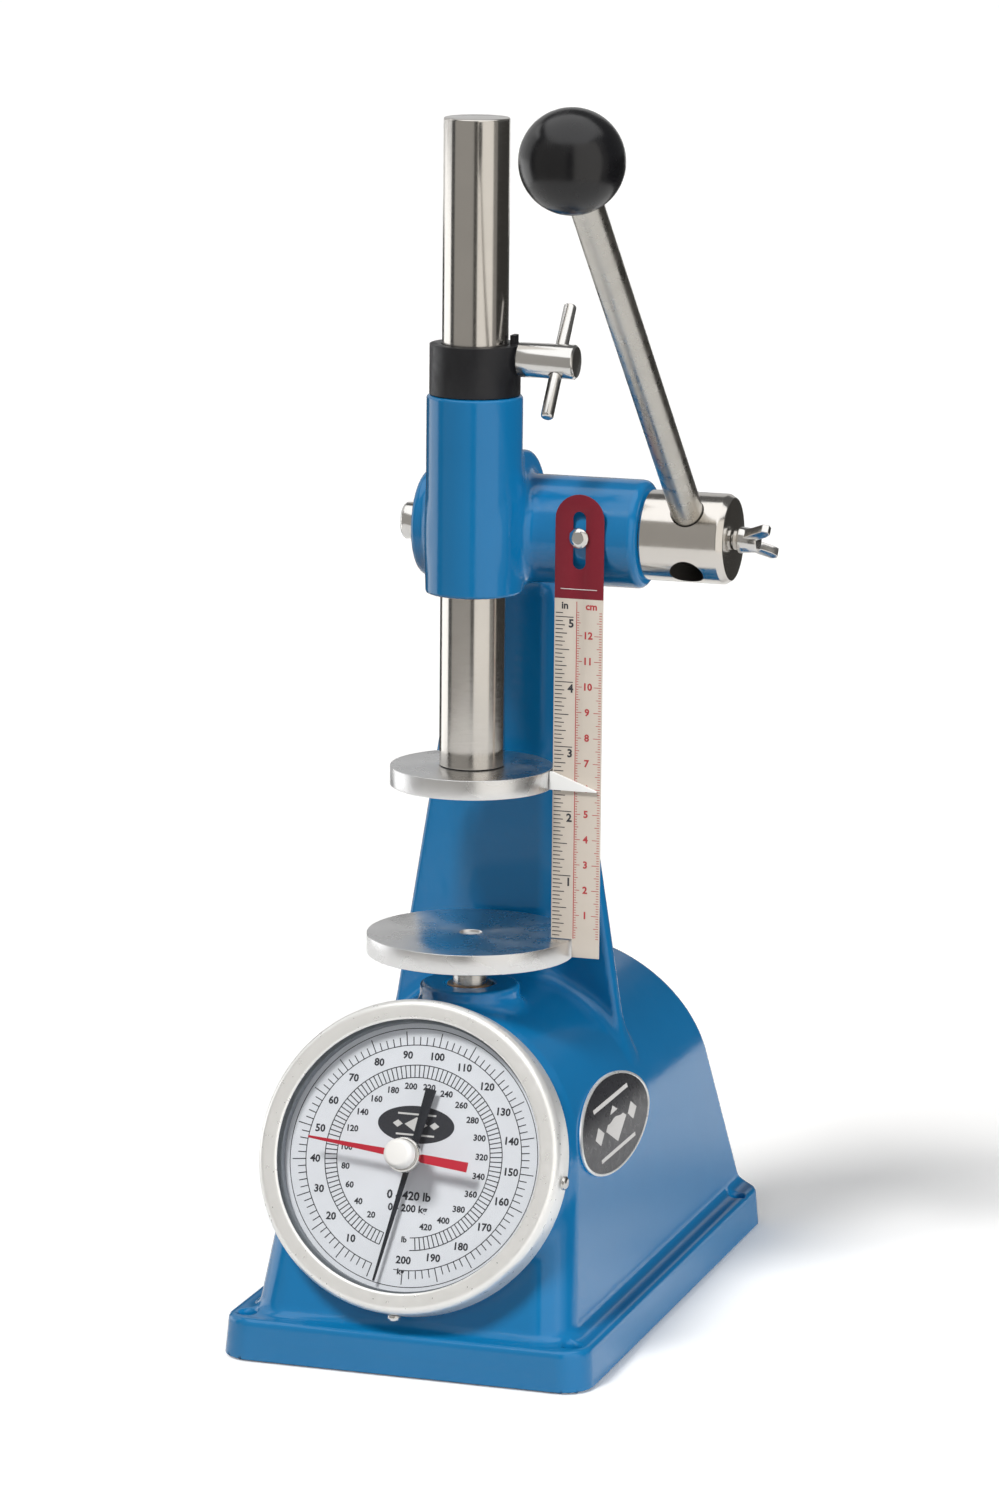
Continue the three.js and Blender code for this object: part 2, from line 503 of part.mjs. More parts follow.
// ---------------------------------------------------------------- ram, collar and lever
function ram() {
  const body = turned([
    [0, UPPER.top - 2.4], [6.9, UPPER.top - 2.4], [6.9, UPPER.top + GAP], [RAM.r, UPPER.top + GAP],
    [RAM.r, RAM.top - 1], [RAM.r - 1, RAM.top], [0, RAM.top],
  ], FINE);
  const pitchY = SHAFT_Y - PINION_PITCH_R;
  const pitch = Math.PI * MODULE;
  const [first, last] = RAM.rackTurns;
  const [root, tip] = [pitchY - 1.2 * MODULE, pitchY + 0.62 * MODULE];
  const spaces = [];
  for (let k = first; k <= last; k++) {
    const middle = SHAFT_Z + k * pitch;
    const half = (y) => pitch / 4 + 0.2 + (y - pitchY) * Math.tan(PRESSURE);
    const section = [[root, middle - half(root)], [tip + 1, middle - half(tip + 1)], [tip + 1, middle + half(tip + 1)],
      [root, middle + half(root)]];
    spaces.push(plate(section, -9, 9).rotate([0, 90, 0]).rotate([90, 0, 0]));
  }
  const z0 = SHAFT_Z + (first - 0.5) * pitch;
  const z1 = SHAFT_Z + (last + 0.5) * pitch;
  const hole = rod(2.3, RAM.bottom, UPPER.top + 9, SMALL);
  return cut(body, hole, box(-9, 9, tip, RAM.r + 1, z0, z1), ...spaces);
}

function stopCollar() {
  const ring = pipe(COLLAR.r, RAM.r + GAP, COLLAR.bottom, COLLAR.top, FINE);
  const peg = box(13.4, 15.4, 1.6, 6.4, COLLAR.top - 1, COLLAR.top + 3.6);
  const tapped = rodX(3.3, 10, 20, 0, CLAMP.z, SMALL);
  return cut(join(ring, peg), tapped);
}

function clampScrew() {
  const { z, r, left, right, pinX, pinR } = CLAMP;
  const stem = alongX(turned([[0, 13.2], [2.9, 13.2], [2.9, left + 1], [r, left + 1], [r, right - 0.8],
    [r - 0.8, right], [0, right]], ROUND), 0, z);
  const crossHole = rod(pinR + GAP, -r - 1, r + 1, SMALL).rotate([-THREE.MathUtils.radToDeg(CLAMP_TURN), 0, 0]);
  return cut(stem, crossHole.translate([pinX, 0, z]));
}

function clampPin() {
  const { z, pinX, pinR, pinHalf } = CLAMP;
  const pin = rod(pinR, -pinHalf, pinHalf, SMALL, 0.6);
  return pin.rotate([-THREE.MathUtils.radToDeg(CLAMP_TURN), 0, 0]).translate([pinX, 0, z]);
}

function pinionShaft() {
  const teeth = plate(gearOutline(PINION_TEETH, MODULE, 0.8, 1.15, 0.4), -PINION_HALF, PINION_HALF);
  const shaft = rod(SHAFT_R, -PINION_HALF, 88, ROUND);
  const tail = rod(6, TUBE.left - 0.6, -PINION_HALF, ROUND);
  const tapped = rod(2.6, 76, 89, SMALL);
  return alongX(cut(join(teeth.rotate([0, 0, 90]), shaft, tail), tapped), SHAFT_Y, SHAFT_Z);
}

const rightBush = () => alongX(pipe(TUBE.cavity - GAP, SHAFT_R + GAP, PINION_HALF + 1.5, TUBE.right + 0.2), SHAFT_Y, SHAFT_Z);
const leftBush = () => alongX(pipe(TUBE.leftBore - GAP, 6 + GAP, TUBE.left + 0.2, -PINION_HALF - 1.8), SHAFT_Y, SHAFT_Z);
const shaftEndScrew = () => rodX(7.2, TUBE.left - 8.6, TUBE.left - 0.9, SHAFT_Y, SHAFT_Z, 24, 1);

// A socket or rod across the hub, pointing forward and up at an angle, from one distance to another.
function spoke(r, from, to, up, sides = ROUND, chamfer = 0) {
  const tilt = 90 - THREE.MathUtils.radToDeg(up);
  return rod(r, from, to, sides, chamfer).rotate([tilt, 0, 0]).translate([LEVER.x, SHAFT_Y, SHAFT_Z]);
}

function hub() {
  const barrel = alongX(turned([[0, HUB.left], [HUB.r - 0.6, HUB.left], [HUB.r, HUB.left + 0.6], [HUB.r, HUB.right - 2.6],
    [HUB.r - 2, HUB.right], [0, HUB.right]], FINE), SHAFT_Y, SHAFT_Z);
  const bore = rodX(SHAFT_R + 0.3, HUB.left - 1, 88.4, SHAFT_Y, SHAFT_Z);
  const screwHole = rodX(2.6, 80, HUB.right + 1, SHAFT_Y, SHAFT_Z, SMALL);
  return cut(barrel, bore, screwHole, spoke(HUB.hole, 9.2, 30, LEVER.up), spoke(HUB.hole, 9.2, 30, LEVER.up - Math.PI / 2));
}

const leverRod = () => join(spoke(LEVER.r, 9.6, LEVER.length - 18.1, LEVER.up), spoke(4.2, 200, LEVER.length - 4, LEVER.up));

function ballKnob() {
  const steps = 12;
  const profile = [[4.6, -17.8], [6.8, -17.8]];
  for (let i = 2; i <= steps; i++) {
    const angle = -Math.PI / 2 + (Math.PI * i) / steps;
    profile.push([Math.max(LEVER.ballR * Math.cos(angle), 0), LEVER.ballR * Math.sin(angle)]);
  }
  profile.push([0, -3.6], [4.6, -3.6], [4.6, -17.8]);
  const tilt = 90 - THREE.MathUtils.radToDeg(LEVER.up);
  return turned(profile, ROUND).translate([0, 0, LEVER.length]).rotate([tilt, 0, 0])
    .translate([LEVER.x, SHAFT_Y, SHAFT_Z]);
}

// A wing screw in the hub's end: stem, shoulder and two wings that splay outwards.
function wingScrew() {
  const stem = turned([[0, 78.5], [2.3, 78.5], [2.3, HUB.right + 0.5], [4, HUB.right + 0.5], [4, HUB.right + 2],
    [5.2, HUB.right + 2.6], [4.4, HUB.right + 10], [0, HUB.right + 10]], 24);
  const wing = [[-4, 2.6], [1.4, 3], [5.6, 5.4], [7.6, 7.4], [7.2, 9.3], [4.8, 9.9], [0.4, 7.2], [-4, 4.4]];
  const wings = [1, -1].map((side) => plate(wing.map(([a, b]) => [a + HUB.right + 8.5, b * side]), -1.7, 1.7));
  const upright3 = stem.rotate([0, 90, 0]);
  return join(upright3, ...wings).rotate([-40, 0, 0]).translate([0, SHAFT_Y, SHAFT_Z]);
}

// An oval plate bent to lie on the housing's right flank, where it runs into the crown.
function flankPlate() {
  const layer = (gap) => loft([archRing(-gap, () => -60, 30), archRing(-gap, () => 80, 30)]);
  const oval = new THREE.Shape();
  oval.absellipse(0, 0, 45.5, 17.7, 0, 2 * Math.PI);
  const geometry = new THREE.ExtrudeGeometry(oval, { depth: 40, bevelEnabled: false, curveSegments: 20 });
  const prism = solid(geometry).rotate([90, 0, 90]).translate([35, 7.2, 82.3]);
  return prism.intersect(layer(1.3).subtract(layer(GAP)));
}

// ---------------------------------------------------------------- assembly
const group = new THREE.Group();

function add(parent, name, made, finish) {
  const mesh = new THREE.Mesh(geometryOf(made), new THREE.MeshStandardMaterial(finish));
  mesh.name = name;
  parent.add(mesh);
  return mesh;
}

add(group, "frame_casting", frameCasting(), PAINT);
add(group, "bottom_cover", bottomCover(), ZINC);
COVER_SCREWS.forEach(([x, y], i) => add(group, `cover_screw_${i + 1}`, coverScrew(), ZINC).position.set(x, y, 0));
add(group, "flank_plate", flankPlate(), BLACK_OXIDE);

add(group, "spring_seat", springSeat(), ZINC);
add(group, "weigh_spring", coil(17, 2.6, 11, 57.6, 5), SPRING_STEEL);
add(group, "spring_cap", springCap(), ZINC);
add(group, "spindle", spindle(), STEEL);
add(group, "spindle_bush", spindleBush(), BRONZE);
add(group, "spindle_arm", spindleArm(), ZINC);
add(group, "lower_platen", lowerPlaten(), ALUMINIUM);

const dial = new THREE.Group();
dial.position.copy(DIAL_CENTRE);
dial.rotation.x = Math.PI / 2 - FRONT_LEAN;
group.add(dial);
add(dial, "gauge_case", gaugeCase(), BLACK_OXIDE);
add(dial, "movement_plate", movementPlate(), BRASS);
add(dial, "movement_bridge", movementBridge(), BRASS);
add(dial, "gauge_rack", gaugeRack(), BRASS);
add(dial, "lay_gear", layGear(), BRASS).position.y = LAY_Y;
add(dial, "pointer_arbor", pointerArbor(), STEEL);
add(dial, "dial_plate", dialPlate(), DIAL_PAPER);
add(dial, "main_pointer", mainPointer(), BLACK_PLASTIC).rotation.z = -POINTER_ANGLE;
add(dial, "lens_gasket", lensGasket(), RUBBER);
add(dial, "lens", lens(), GLASS);
add(dial, "bezel", bezel(), BEZEL_FINISH);
add(dial, "red_hand", redHand(), RED).rotation.z = -RED_ANGLE;
add(dial, "hand_collar", handCollar(), STEEL);
add(dial, "hand_knob", handKnob(), WHITE_PLASTIC);
BEZEL_SCREWS.forEach((turn, i) => add(dial, `bezel_screw_${i + 1}`, bezelScrew(turn), STEEL));

add(group, "ruler", ruler(), RULER_PAINT);
add(group, "ruler_screw", rulerScrew(), STEEL);
add(group, "upper_platen", upperPlaten(), ALUMINIUM);
add(group, "platen_screw", platenScrew(), ZINC);
add(group, "platen_pointer", platenPointer(), WHITE_PLASTIC);
add(group, "ram", ram(), STEEL);
add(group, "stop_collar", stopCollar(), BLACK_OXIDE);
add(group, "clamp_screw", clampScrew(), STEEL);
add(group, "clamp_pin", clampPin(), STEEL);

add(group, "pinion_shaft", pinionShaft(), STEEL);
add(group, "right_bush", rightBush(), BRONZE);
add(group, "left_bush", leftBush(), BRONZE);
add(group, "shaft_end_screw", shaftEndScrew(), STEEL);
add(group, "lever_hub", hub(), STEEL);
add(group, "lever_rod", leverRod(), STEEL);
add(group, "ball_knob", ballKnob(), BLACK_PLASTIC);
add(group, "wing_screw", wingScrew(), STEEL);

export default group;
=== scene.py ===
"""Looks of the arbor press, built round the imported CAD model. Metres, in the CAD model's own frame."""

import json
import math

import bmesh
import bpy
import numpy as np
from mathutils import Matrix, Vector

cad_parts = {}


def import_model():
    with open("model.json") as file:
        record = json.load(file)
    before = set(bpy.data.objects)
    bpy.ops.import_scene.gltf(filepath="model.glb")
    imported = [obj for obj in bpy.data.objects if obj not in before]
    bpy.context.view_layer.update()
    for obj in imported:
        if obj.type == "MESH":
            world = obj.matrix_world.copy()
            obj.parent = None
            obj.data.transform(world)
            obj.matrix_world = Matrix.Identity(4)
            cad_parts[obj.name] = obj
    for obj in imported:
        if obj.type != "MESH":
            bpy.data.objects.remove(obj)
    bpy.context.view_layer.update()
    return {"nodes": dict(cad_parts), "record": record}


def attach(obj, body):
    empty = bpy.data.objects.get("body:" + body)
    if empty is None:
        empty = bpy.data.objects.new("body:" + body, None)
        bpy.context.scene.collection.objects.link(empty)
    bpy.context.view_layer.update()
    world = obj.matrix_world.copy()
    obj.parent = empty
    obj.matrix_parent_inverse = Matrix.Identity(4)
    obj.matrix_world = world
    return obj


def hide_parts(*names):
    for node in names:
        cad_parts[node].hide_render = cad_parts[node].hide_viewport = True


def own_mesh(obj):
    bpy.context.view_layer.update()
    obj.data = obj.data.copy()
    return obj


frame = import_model()
MM = 0.001

# Sizes in mm that several pieces share
FLANK_SLOPE = 0.109  # how far the housing's sides lean in for each mm of height
FLANK_LEAN = math.atan(FLANK_SLOPE)
PLINTH_TOP = 16.3
HALF_WIDTH = 64.3  # of the housing, at the plinth's top
CROWN_R = 57.8
CROWN_Z = PLINTH_TOP + (HALF_WIDTH - CROWN_R / math.cos(FLANK_LEAN)) / FLANK_SLOPE
DIAL_X, DIAL_Y, DIAL_Z = -1.8, -71.2, 84
DIAL_LEAN = math.radians(19.5)
AXLE_Y, AXLE_Z = 22.2, 313.2
GUIDE_MIDDLE = 328.6
HEAD_UNDERSIDE = 290.1
BOLT_HOLES = ((65.4, -72.8), (68.4, 150))
COVER_SCREW_X, COVER_SCREW_Y = 60.6, (-58, 148)
RULER_HEAD_Z = 290.2
SCALE_ZERO = 156  # the lower platen's face, where the ruler reads 0
BADGE_HALF_LONG, BADGE_HALF_HIGH = 45.5, 17.7
OVAL_HALF_LONG, OVAL_HALF_HIGH = 15.4, 7.2


# ------------------------------------------------------------------ materials
class Finish:
    """A Principled material with helpers for the nodes that give it its detail."""

    def __init__(self, name, color, roughness, metallic=0.0, **sockets):
        self.material = bpy.data.materials.new(name)
        self.material.use_nodes = True
        self.tree = self.material.node_tree
        self.bsdf = self.tree.nodes["Principled BSDF"]
        self.set("Base Color", (*color, 1))
        self.set("Roughness", roughness)
        self.set("Metallic", metallic)
        for socket, value in sockets.items():
            self.set(socket.replace("_", " "), value)
        self.place = self.node("ShaderNodeTexCoord").outputs["Object"]

    def set(self, socket, value):
        self.bsdf.inputs[socket].default_value = value

    def node(self, kind, **values):
        made = self.tree.nodes.new(kind)
        for key, value in values.items():
            if hasattr(made, key):
                setattr(made, key, value)
            else:
                made.inputs[key].default_value = value
        return made

    def link(self, a, b):
        self.tree.links.new(a, b)

    def noise(self, scale, detail=2.0, stretch=(1, 1, 1)):
        """Noise of that many features per metre, times the stretch along each axis."""
        mapping = self.node("ShaderNodeMapping")
        mapping.inputs["Scale"].default_value = stretch
        self.link(self.place, mapping.inputs["Vector"])
        made = self.node("ShaderNodeTexNoise", Scale=scale, Detail=detail)
        self.link(mapping.outputs["Vector"], made.inputs["Vector"])
        return made.outputs["Fac"]

    def spread(self, value, low, high, start=0.3, end=0.7):
        """Maps a 0 to 1 value onto a range."""
        made = self.node("ShaderNodeMapRange")
        for key, number in (("From Min", start), ("From Max", end), ("To Min", low), ("To Max", high)):
            made.inputs[key].default_value = number
        self.link(value, made.inputs["Value"])
        return made.outputs["Result"]

    def blend(self, factor, a, b):
        """A colour between a and b; each is a colour or a socket."""
        made = self.node("ShaderNodeMix", data_type="RGBA")
        self.link(factor, made.inputs[0])
        for socket, value in ((made.inputs[6], a), (made.inputs[7], b)):
            if isinstance(value, tuple):
                socket.default_value = (*value, 1)
            else:
                self.link(value, socket)
        return made.outputs[2]

    def color(self, socket):
        self.link(socket, self.bsdf.inputs["Base Color"])
        return self

    def roughness(self, socket):
        self.link(socket, self.bsdf.inputs["Roughness"])
        return self

    def bump(self, height, distance, strength=1.0):
        made = self.node("ShaderNodeBump", Distance=distance, Strength=strength)
        self.link(height, made.inputs["Height"])
        before = self.bsdf.inputs["Normal"].links
        if before:
            self.link(before[0].from_socket, made.inputs["Normal"])
        self.link(made.outputs["Normal"], self.bsdf.inputs["Normal"])
        return self

    def split(self):
        """The place's X, Y and Z."""
        made = self.node("ShaderNodeSeparateXYZ")
        self.link(self.place, made.inputs[0])
        return made.outputs

    def math(self, operation, a, b=0.0):
        made = self.node("ShaderNodeMath", operation=operation)
        for socket, value in zip(made.inputs, (a, b)):
            if isinstance(value, (int, float)):
                socket.default_value = value
            else:
                self.link(value, socket)
        return made.outputs[0]

    def radial(self):
        """Distance from the Z axis."""
        out = self.split()
        squares = [self.math("MULTIPLY", out[i], out[i]) for i in (0, 1)]
        return self.math("SQRT", self.math("ADD", *squares))


def enamel():
    f = Finish("blue_enamel", (0.004, 0.150, 0.355), 0.16)
    f.color(f.blend(f.noise(38, 4), (0.003, 0.143, 0.340), (0.005, 0.158, 0.372)))
    f.roughness(f.spread(f.noise(240, 3), 0.12, 0.21))
    f.bump(f.noise(300, 1.5), 0.00004, 0.3)
    f.bump(f.noise(70, 2), 0.00025, 0.2)
    return f.material


def steel(name, color, roughness, stretch=(1, 1, 60), scale=90, marks=0.25):
    """Ground steel: fine marks across the stretched axis, and faint smears."""
    f = Finish(name, color, roughness, 1.0)
    grain = f.noise(scale, 3, stretch)
    low, high = tuple(c * 0.90 for c in color), tuple(min(1, c * 1.07) for c in color)
    f.color(f.blend(f.noise(45, 4), low, high))
    f.roughness(f.spread(grain, roughness * 0.75, roughness * 1.35))
    f.bump(grain, 0.00003, marks)
    return f.material


def turned(name, color, roughness):
    """Faced on a lathe: concentric tool marks."""
    f = Finish(name, color, roughness, 1.0, Anisotropic=0.75)
    tangent = f.node("ShaderNodeTangent", direction_type="RADIAL", axis="Z")
    f.link(tangent.outputs[0], f.bsdf.inputs["Tangent"])
    marks_per_metre = 3500.0
    rings = f.math("SINE", f.math("MULTIPLY", f.radial(), marks_per_metre))
    uneven = f.noise(70, 4)
    f.color(f.blend(uneven, tuple(c * 0.9 for c in color), color))
    f.roughness(f.spread(uneven, roughness * 0.8, roughness * 1.25))
    f.bump(rings, 0.00003, 0.03)
    return f.material


def plain(name, color, roughness, grain=500, depth=0.00003, metallic=0.0, change=0.12):
    """A painted or moulded finish with a fine grain and a little change in colour."""
    f = Finish(name, color, roughness, metallic)
    low, high = tuple(c * (1 - change) for c in color), tuple(min(1, c * (1 + change)) for c in color)
    f.color(f.blend(f.noise(55, 4), low, high))
    f.roughness(f.spread(f.noise(grain, 2), roughness * 0.8, min(1, roughness * 1.2)))
    f.bump(f.noise(grain, 2), depth, 0.4)
    return f.material


def ruler_paint():
    """Cream below, dark red on the rounded head."""
    f = Finish("ruler_paint", (0.60, 0.53, 0.46), 0.46)
    head = f.math("GREATER_THAN", f.split()[2], RULER_HEAD_Z * MM)
    cream = f.blend(f.noise(60, 4), (0.56, 0.50, 0.43), (0.64, 0.575, 0.505))
    red = f.blend(f.noise(70, 4), (0.150, 0.004, 0.013), (0.180, 0.006, 0.018))
    f.color(f.blend(head, cream, red))
    f.roughness(f.spread(f.noise(420, 2), 0.42, 0.56))
    f.bump(f.noise(700, 2), 0.00002, 0.3)
    return f.material


def lens_glass():
    """Thin clear lens: see-through, with the mirror of its surface."""
    f = Finish("lens_glass", (1, 1, 1), 0.02)
    clear = f.node("ShaderNodeBsdfTransparent")
    clear.inputs["Color"].default_value = (0.965, 0.975, 0.98, 1)
    gloss = f.node("ShaderNodeBsdfGlossy")
    gloss.inputs["Roughness"].default_value = 0.03
    edge = f.node("ShaderNodeFresnel")
    edge.inputs["IOR"].default_value = 1.3
    mix = f.node("ShaderNodeMixShader")
    smear = f.node("ShaderNodeBump", Distance=0.00002, Strength=0.2)
    f.link(f.noise(40, 3), smear.inputs["Height"])
    f.link(smear.outputs["Normal"], gloss.inputs["Normal"])
    outside = f.math("SUBTRACT", 1.0, f.node("ShaderNodeNewGeometry").outputs["Backfacing"])
    f.link(f.math("MULTIPLY", edge.outputs[0], outside), mix.inputs[0])
    f.link(clear.outputs[0], mix.inputs[1])
    f.link(gloss.outputs[0], mix.inputs[2])
    f.link(mix.outputs[0], f.tree.nodes["Material Output"].inputs["Surface"])
    return f.material


PAINT = enamel()
RAM_STEEL = steel("ram_steel", (0.62, 0.595, 0.56), 0.15, marks=0.12)
HUB_STEEL = steel("hub_steel", (0.68, 0.65, 0.61), 0.15, (60, 1, 1), marks=0.1)
ROD_STEEL = steel("rod_steel", (0.53, 0.51, 0.47), 0.28, (1, 1, 1), 160, 0.015)
BRIGHT_STEEL = steel("bright_steel", (0.68, 0.67, 0.65), 0.16, (30, 30, 30))
SPINDLE_STEEL = steel("spindle_steel", (0.55, 0.54, 0.52), 0.22)
PLATEN_FACE = turned("platen_metal", (0.82, 0.82, 0.82), 0.28)
BEZEL_METAL = plain("bezel_metal", (0.88, 0.875, 0.855), 0.34, 420, 0.000015, 0.6, 0.05)
SPACER_METAL = plain("spacer_metal", (0.20, 0.215, 0.235), 0.45, 420, 0.00003, 0.6)
DIAL_PAPER = plain("dial_paper", (0.73, 0.73, 0.76), 0.6, 1400, 0.00002, 0.0, 0.04)
INK = plain("printing_ink", (0.030, 0.030, 0.036), 0.55, 900)
RED_INK = plain("red_ink", (0.42, 0.045, 0.05), 0.55, 900)
PALE_INK = plain("pale_ink", (0.62, 0.60, 0.58), 0.5, 900)
BLACK_POINTER = plain("pointer_paint", (0.016, 0.017, 0.022), 0.4, 600)
RED_POINTER = plain("red_hand_paint", (0.42, 0.018, 0.035), 0.35, 600)
WHITE_KNOB = plain("white_knob", (0.80, 0.79, 0.77), 0.35, 300, 0.00004, 0.0, 0.04)
WHITE_PAINT = plain("white_paint", (0.86, 0.86, 0.85), 0.35, 500, 0.00002, 0.0, 0.03)
COLLAR_BLACK = plain("blackened_steel", (0.012, 0.012, 0.014), 0.42, 260, 0.00006, 0.3, 0.3)
KNOB_BLACK = plain("black_phenolic", (0.004, 0.004, 0.005), 0.24, 160, 0.00003, 0.0, 0.2)
BADGE_BLACK = plain("badge_enamel", (0.035, 0.035, 0.04), 0.3, 300, 0.00003, 0.2, 0.25)
# Painted shade: a near-black colour for the walls of the hub's spare hole, standing in for the shade inside it
HOLE_SHADE = plain("painted_hole_shade", (0.018, 0.016, 0.014), 0.5, 300, 0.00005, 0.2, 0.3)
CASE_BLACK = plain("case_black", (0.02, 0.02, 0.022), 0.5, 300, 0.00005)
ZINC = plain("zinc_plate", (0.50, 0.51, 0.52), 0.38, 180, 0.00008, 0.9, 0.15)
BRASS = plain("lacquered_brass", (0.55, 0.36, 0.11), 0.3, 300, 0.00003, 1.0, 0.15)
BRONZE = plain("oiled_bronze", (0.36, 0.20, 0.09), 0.36, 300, 0.00005, 1.0, 0.2)
SPRING_WIRE = plain("spring_wire", (0.16, 0.165, 0.17), 0.35, 250, 0.00006, 0.9, 0.2)
RULER_PAINT = ruler_paint()
LENS_GLASS = lens_glass()


# ------------------------------------------------------------------ mesh helpers
def piece(name, bm, material, body, replaces=(), bevel=0.0, angle=32, smooth=True):
    """Makes an object from a bmesh (in metres) and rides it on a body."""
    mesh = bpy.data.meshes.new(name)
    bm.normal_update()
    bm.to_mesh(mesh)
    bm.free()
    mesh.materials.append(material)
    mesh.polygons.foreach_set("use_smooth", [smooth] * len(mesh.polygons))
    obj = bpy.data.objects.new(name, mesh)
    bpy.context.scene.collection.objects.link(obj)
    if bevel:
        made = obj.modifiers.new("edges", "BEVEL")
        made.width, made.segments, made.limit_method = bevel * MM, 3, "ANGLE"
        made.angle_limit, made.harden_normals = math.radians(angle), True
    elif smooth:
        mesh.set_sharp_from_angle(angle=math.radians(angle))
    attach(obj, body)
    if replaces:
        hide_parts(*replaces)
    return obj


def body_and_slot(node):
    record = frame["record"]
    body = next(b for b, nodes in record["behaviour"]["bodies"].items() if node in nodes)
    return body, next(s["material_slot"] for s in record["subparts"] if s["node"] == node)


def refined(node, material, bevel, angle=32):
    """A CAD node with its coplanar triangles merged, its edges rounded and its round sides smooth."""
    bm = bmesh.new()
    bm.from_mesh(frame["nodes"][node].data)
    bmesh.ops.remove_doubles(bm, verts=bm.verts, dist=2e-6)
    bmesh.ops.dissolve_limit(bm, angle_limit=math.radians(0.6), verts=bm.verts, edges=bm.edges)
    body, slot = body_and_slot(node)
    return piece(node + "_fine", bm, material, body, [node], bevel, angle)


def skin(bm, rings, sides):
    """Faces between rings of corners; a ring may be a single point."""
    for low, high in zip(rings, rings[1:]):
        for i in range(sides):
            j = (i + 1) % sides
            corners = [low[i % len(low)], low[j % len(low)], high[j % len(high)], high[i % len(high)]]
            bm.faces.new(list(dict.fromkeys(corners)))
    bmesh.ops.recalc_face_normals(bm, faces=bm.faces)


def lathe(profile, sides=128, matrix=Matrix.Identity(4)):
    """A closed solid of revolution about Z from [radius, z] in mm.

    A profile that doesn't start on the axis closes on itself.
    """
    bm = bmesh.new()
    rings = []
    for r, z in profile:
        if r < 1e-6:
            rings.append([bm.verts.new((0, 0, z * MM))])
        else:
            rings.append([bm.verts.new((r * MM * math.cos(t), r * MM * math.sin(t), z * MM))
                          for t in (2 * math.pi * i / sides for i in range(sides))])
    if profile[0][0] > 1e-6:
        rings.append(rings[0])
    skin(bm, rings, sides)
    bm.transform(matrix)
    return bm


def rounded(profile, radius, steps=4):
    """The profile with each corner that is off the axis rounded."""
    closed = profile[0][0] > 1e-6
    out = []
    for i, point in enumerate(profile):
        p = Vector(point)
        if not closed and i in (0, len(profile) - 1):
            out.append(tuple(p))
            continue
        a, b = Vector(profile[i - 1]), Vector(profile[(i + 1) % len(profile)])
        r = radius[i] if isinstance(radius, (list, tuple)) else radius
        r = min(r, (a - p).length * 0.45, (b - p).length * 0.45)
        start, end = p + (a - p).normalized() * r, p + (b - p).normalized() * r
        for k in range(steps + 1):
            t = k / steps
            out.append(tuple((1 - t) ** 2 * start + 2 * t * (1 - t) * p + t ** 2 * end))
    return out


def along(direction, point):
    """The matrix that turns +Z to a direction and moves the origin to a point in mm."""
    turn = Vector(direction).to_track_quat("Z", "Y").to_matrix().to_4x4()
    return Matrix.Translation(Vector(point) * MM) @ turn


def carve(obj, cutters):
    """Cuts closed bmeshes out of an object, for good."""
    merged = bpy.data.meshes.new("cutter")
    total = bmesh.new()
    for bm in cutters:
        part = bpy.data.meshes.new("part")
        bm.to_mesh(part)
        bm.free()
        total.from_mesh(part)
        bpy.data.meshes.remove(part)
    total.to_mesh(merged)
    total.free()
    tool = bpy.data.objects.new("cutter", merged)
    bpy.context.scene.collection.objects.link(tool)
    cut = obj.modifiers.new("cut", "BOOLEAN")
    cut.operation, cut.solver, cut.object = "DIFFERENCE", "EXACT", tool
    bpy.context.view_layer.update()
    done = bpy.data.meshes.new_from_object(obj.evaluated_get(bpy.context.evaluated_depsgraph_get()))
    obj.modifiers.remove(cut)
    obj.data = done
    bpy.data.objects.remove(tool)
    done.set_sharp_from_angle(angle=math.radians(32))


def add_slab(bm, x0, x1, y0, y1, z0, z1, matrix=Matrix.Identity(4)):
    """A thin printed bar between corners in mm."""
    corners = [bm.verts.new(matrix @ (Vector((x, y, z)) * MM)) for z in (z0, z1)
               for x, y in ((x0, y0), (x1, y0), (x1, y1), (x0, y1))]
    for face in ((3, 2, 1, 0), (4, 5, 6, 7), (0, 1, 5, 4), (1, 2, 6, 5), (2, 3, 7, 6), (3, 0, 4, 7)):
        bm.faces.new([corners[i] for i in face])


def add_arc(bm, radius, width, start, end, z0, z1, matrix, steps=160):
    """A thin printed ring between angles clockwise from the top."""
    whole = end - start >= 359.9
    count = steps if whole else steps + 1
    inner, outer = radius - width / 2, radius + width / 2
    section = [(r * MM, z * MM) for r, z in ((inner, z0), (outer, z0), (outer, z1), (inner, z1))]
    columns = []
    for i in range(count):
        t = math.radians(start + (end - start) * i / steps)
        columns.append([bm.verts.new(matrix @ Vector((r * math.sin(t), r * math.cos(t), z)))
                        for r, z in section])
    pairs = list(zip(columns, columns[1:] + ([columns[0]] if whole else [])))
    for a, b in pairs:
        for k in range(4):
            bm.faces.new([a[k], a[(k + 1) % 4], b[(k + 1) % 4], b[k]])
    if not whole:
        bm.faces.new(columns[0])
        bm.faces.new(columns[-1][::-1])


def add_outline(bm, points, z0, z1, matrix):
    """A thin printed shape from an outline in mm."""
    low = [bm.verts.new(matrix @ (Vector((x, y, z0)) * MM)) for x, y in points]
    high = [bm.verts.new(matrix @ (Vector((x, y, z1)) * MM)) for x, y in points]
    bm.faces.new(low[::-1])
    bm.faces.new(high)
    for i in range(len(points)):
        j = (i + 1) % len(points)
        bm.faces.new([low[i], low[j], high[j], high[i]])


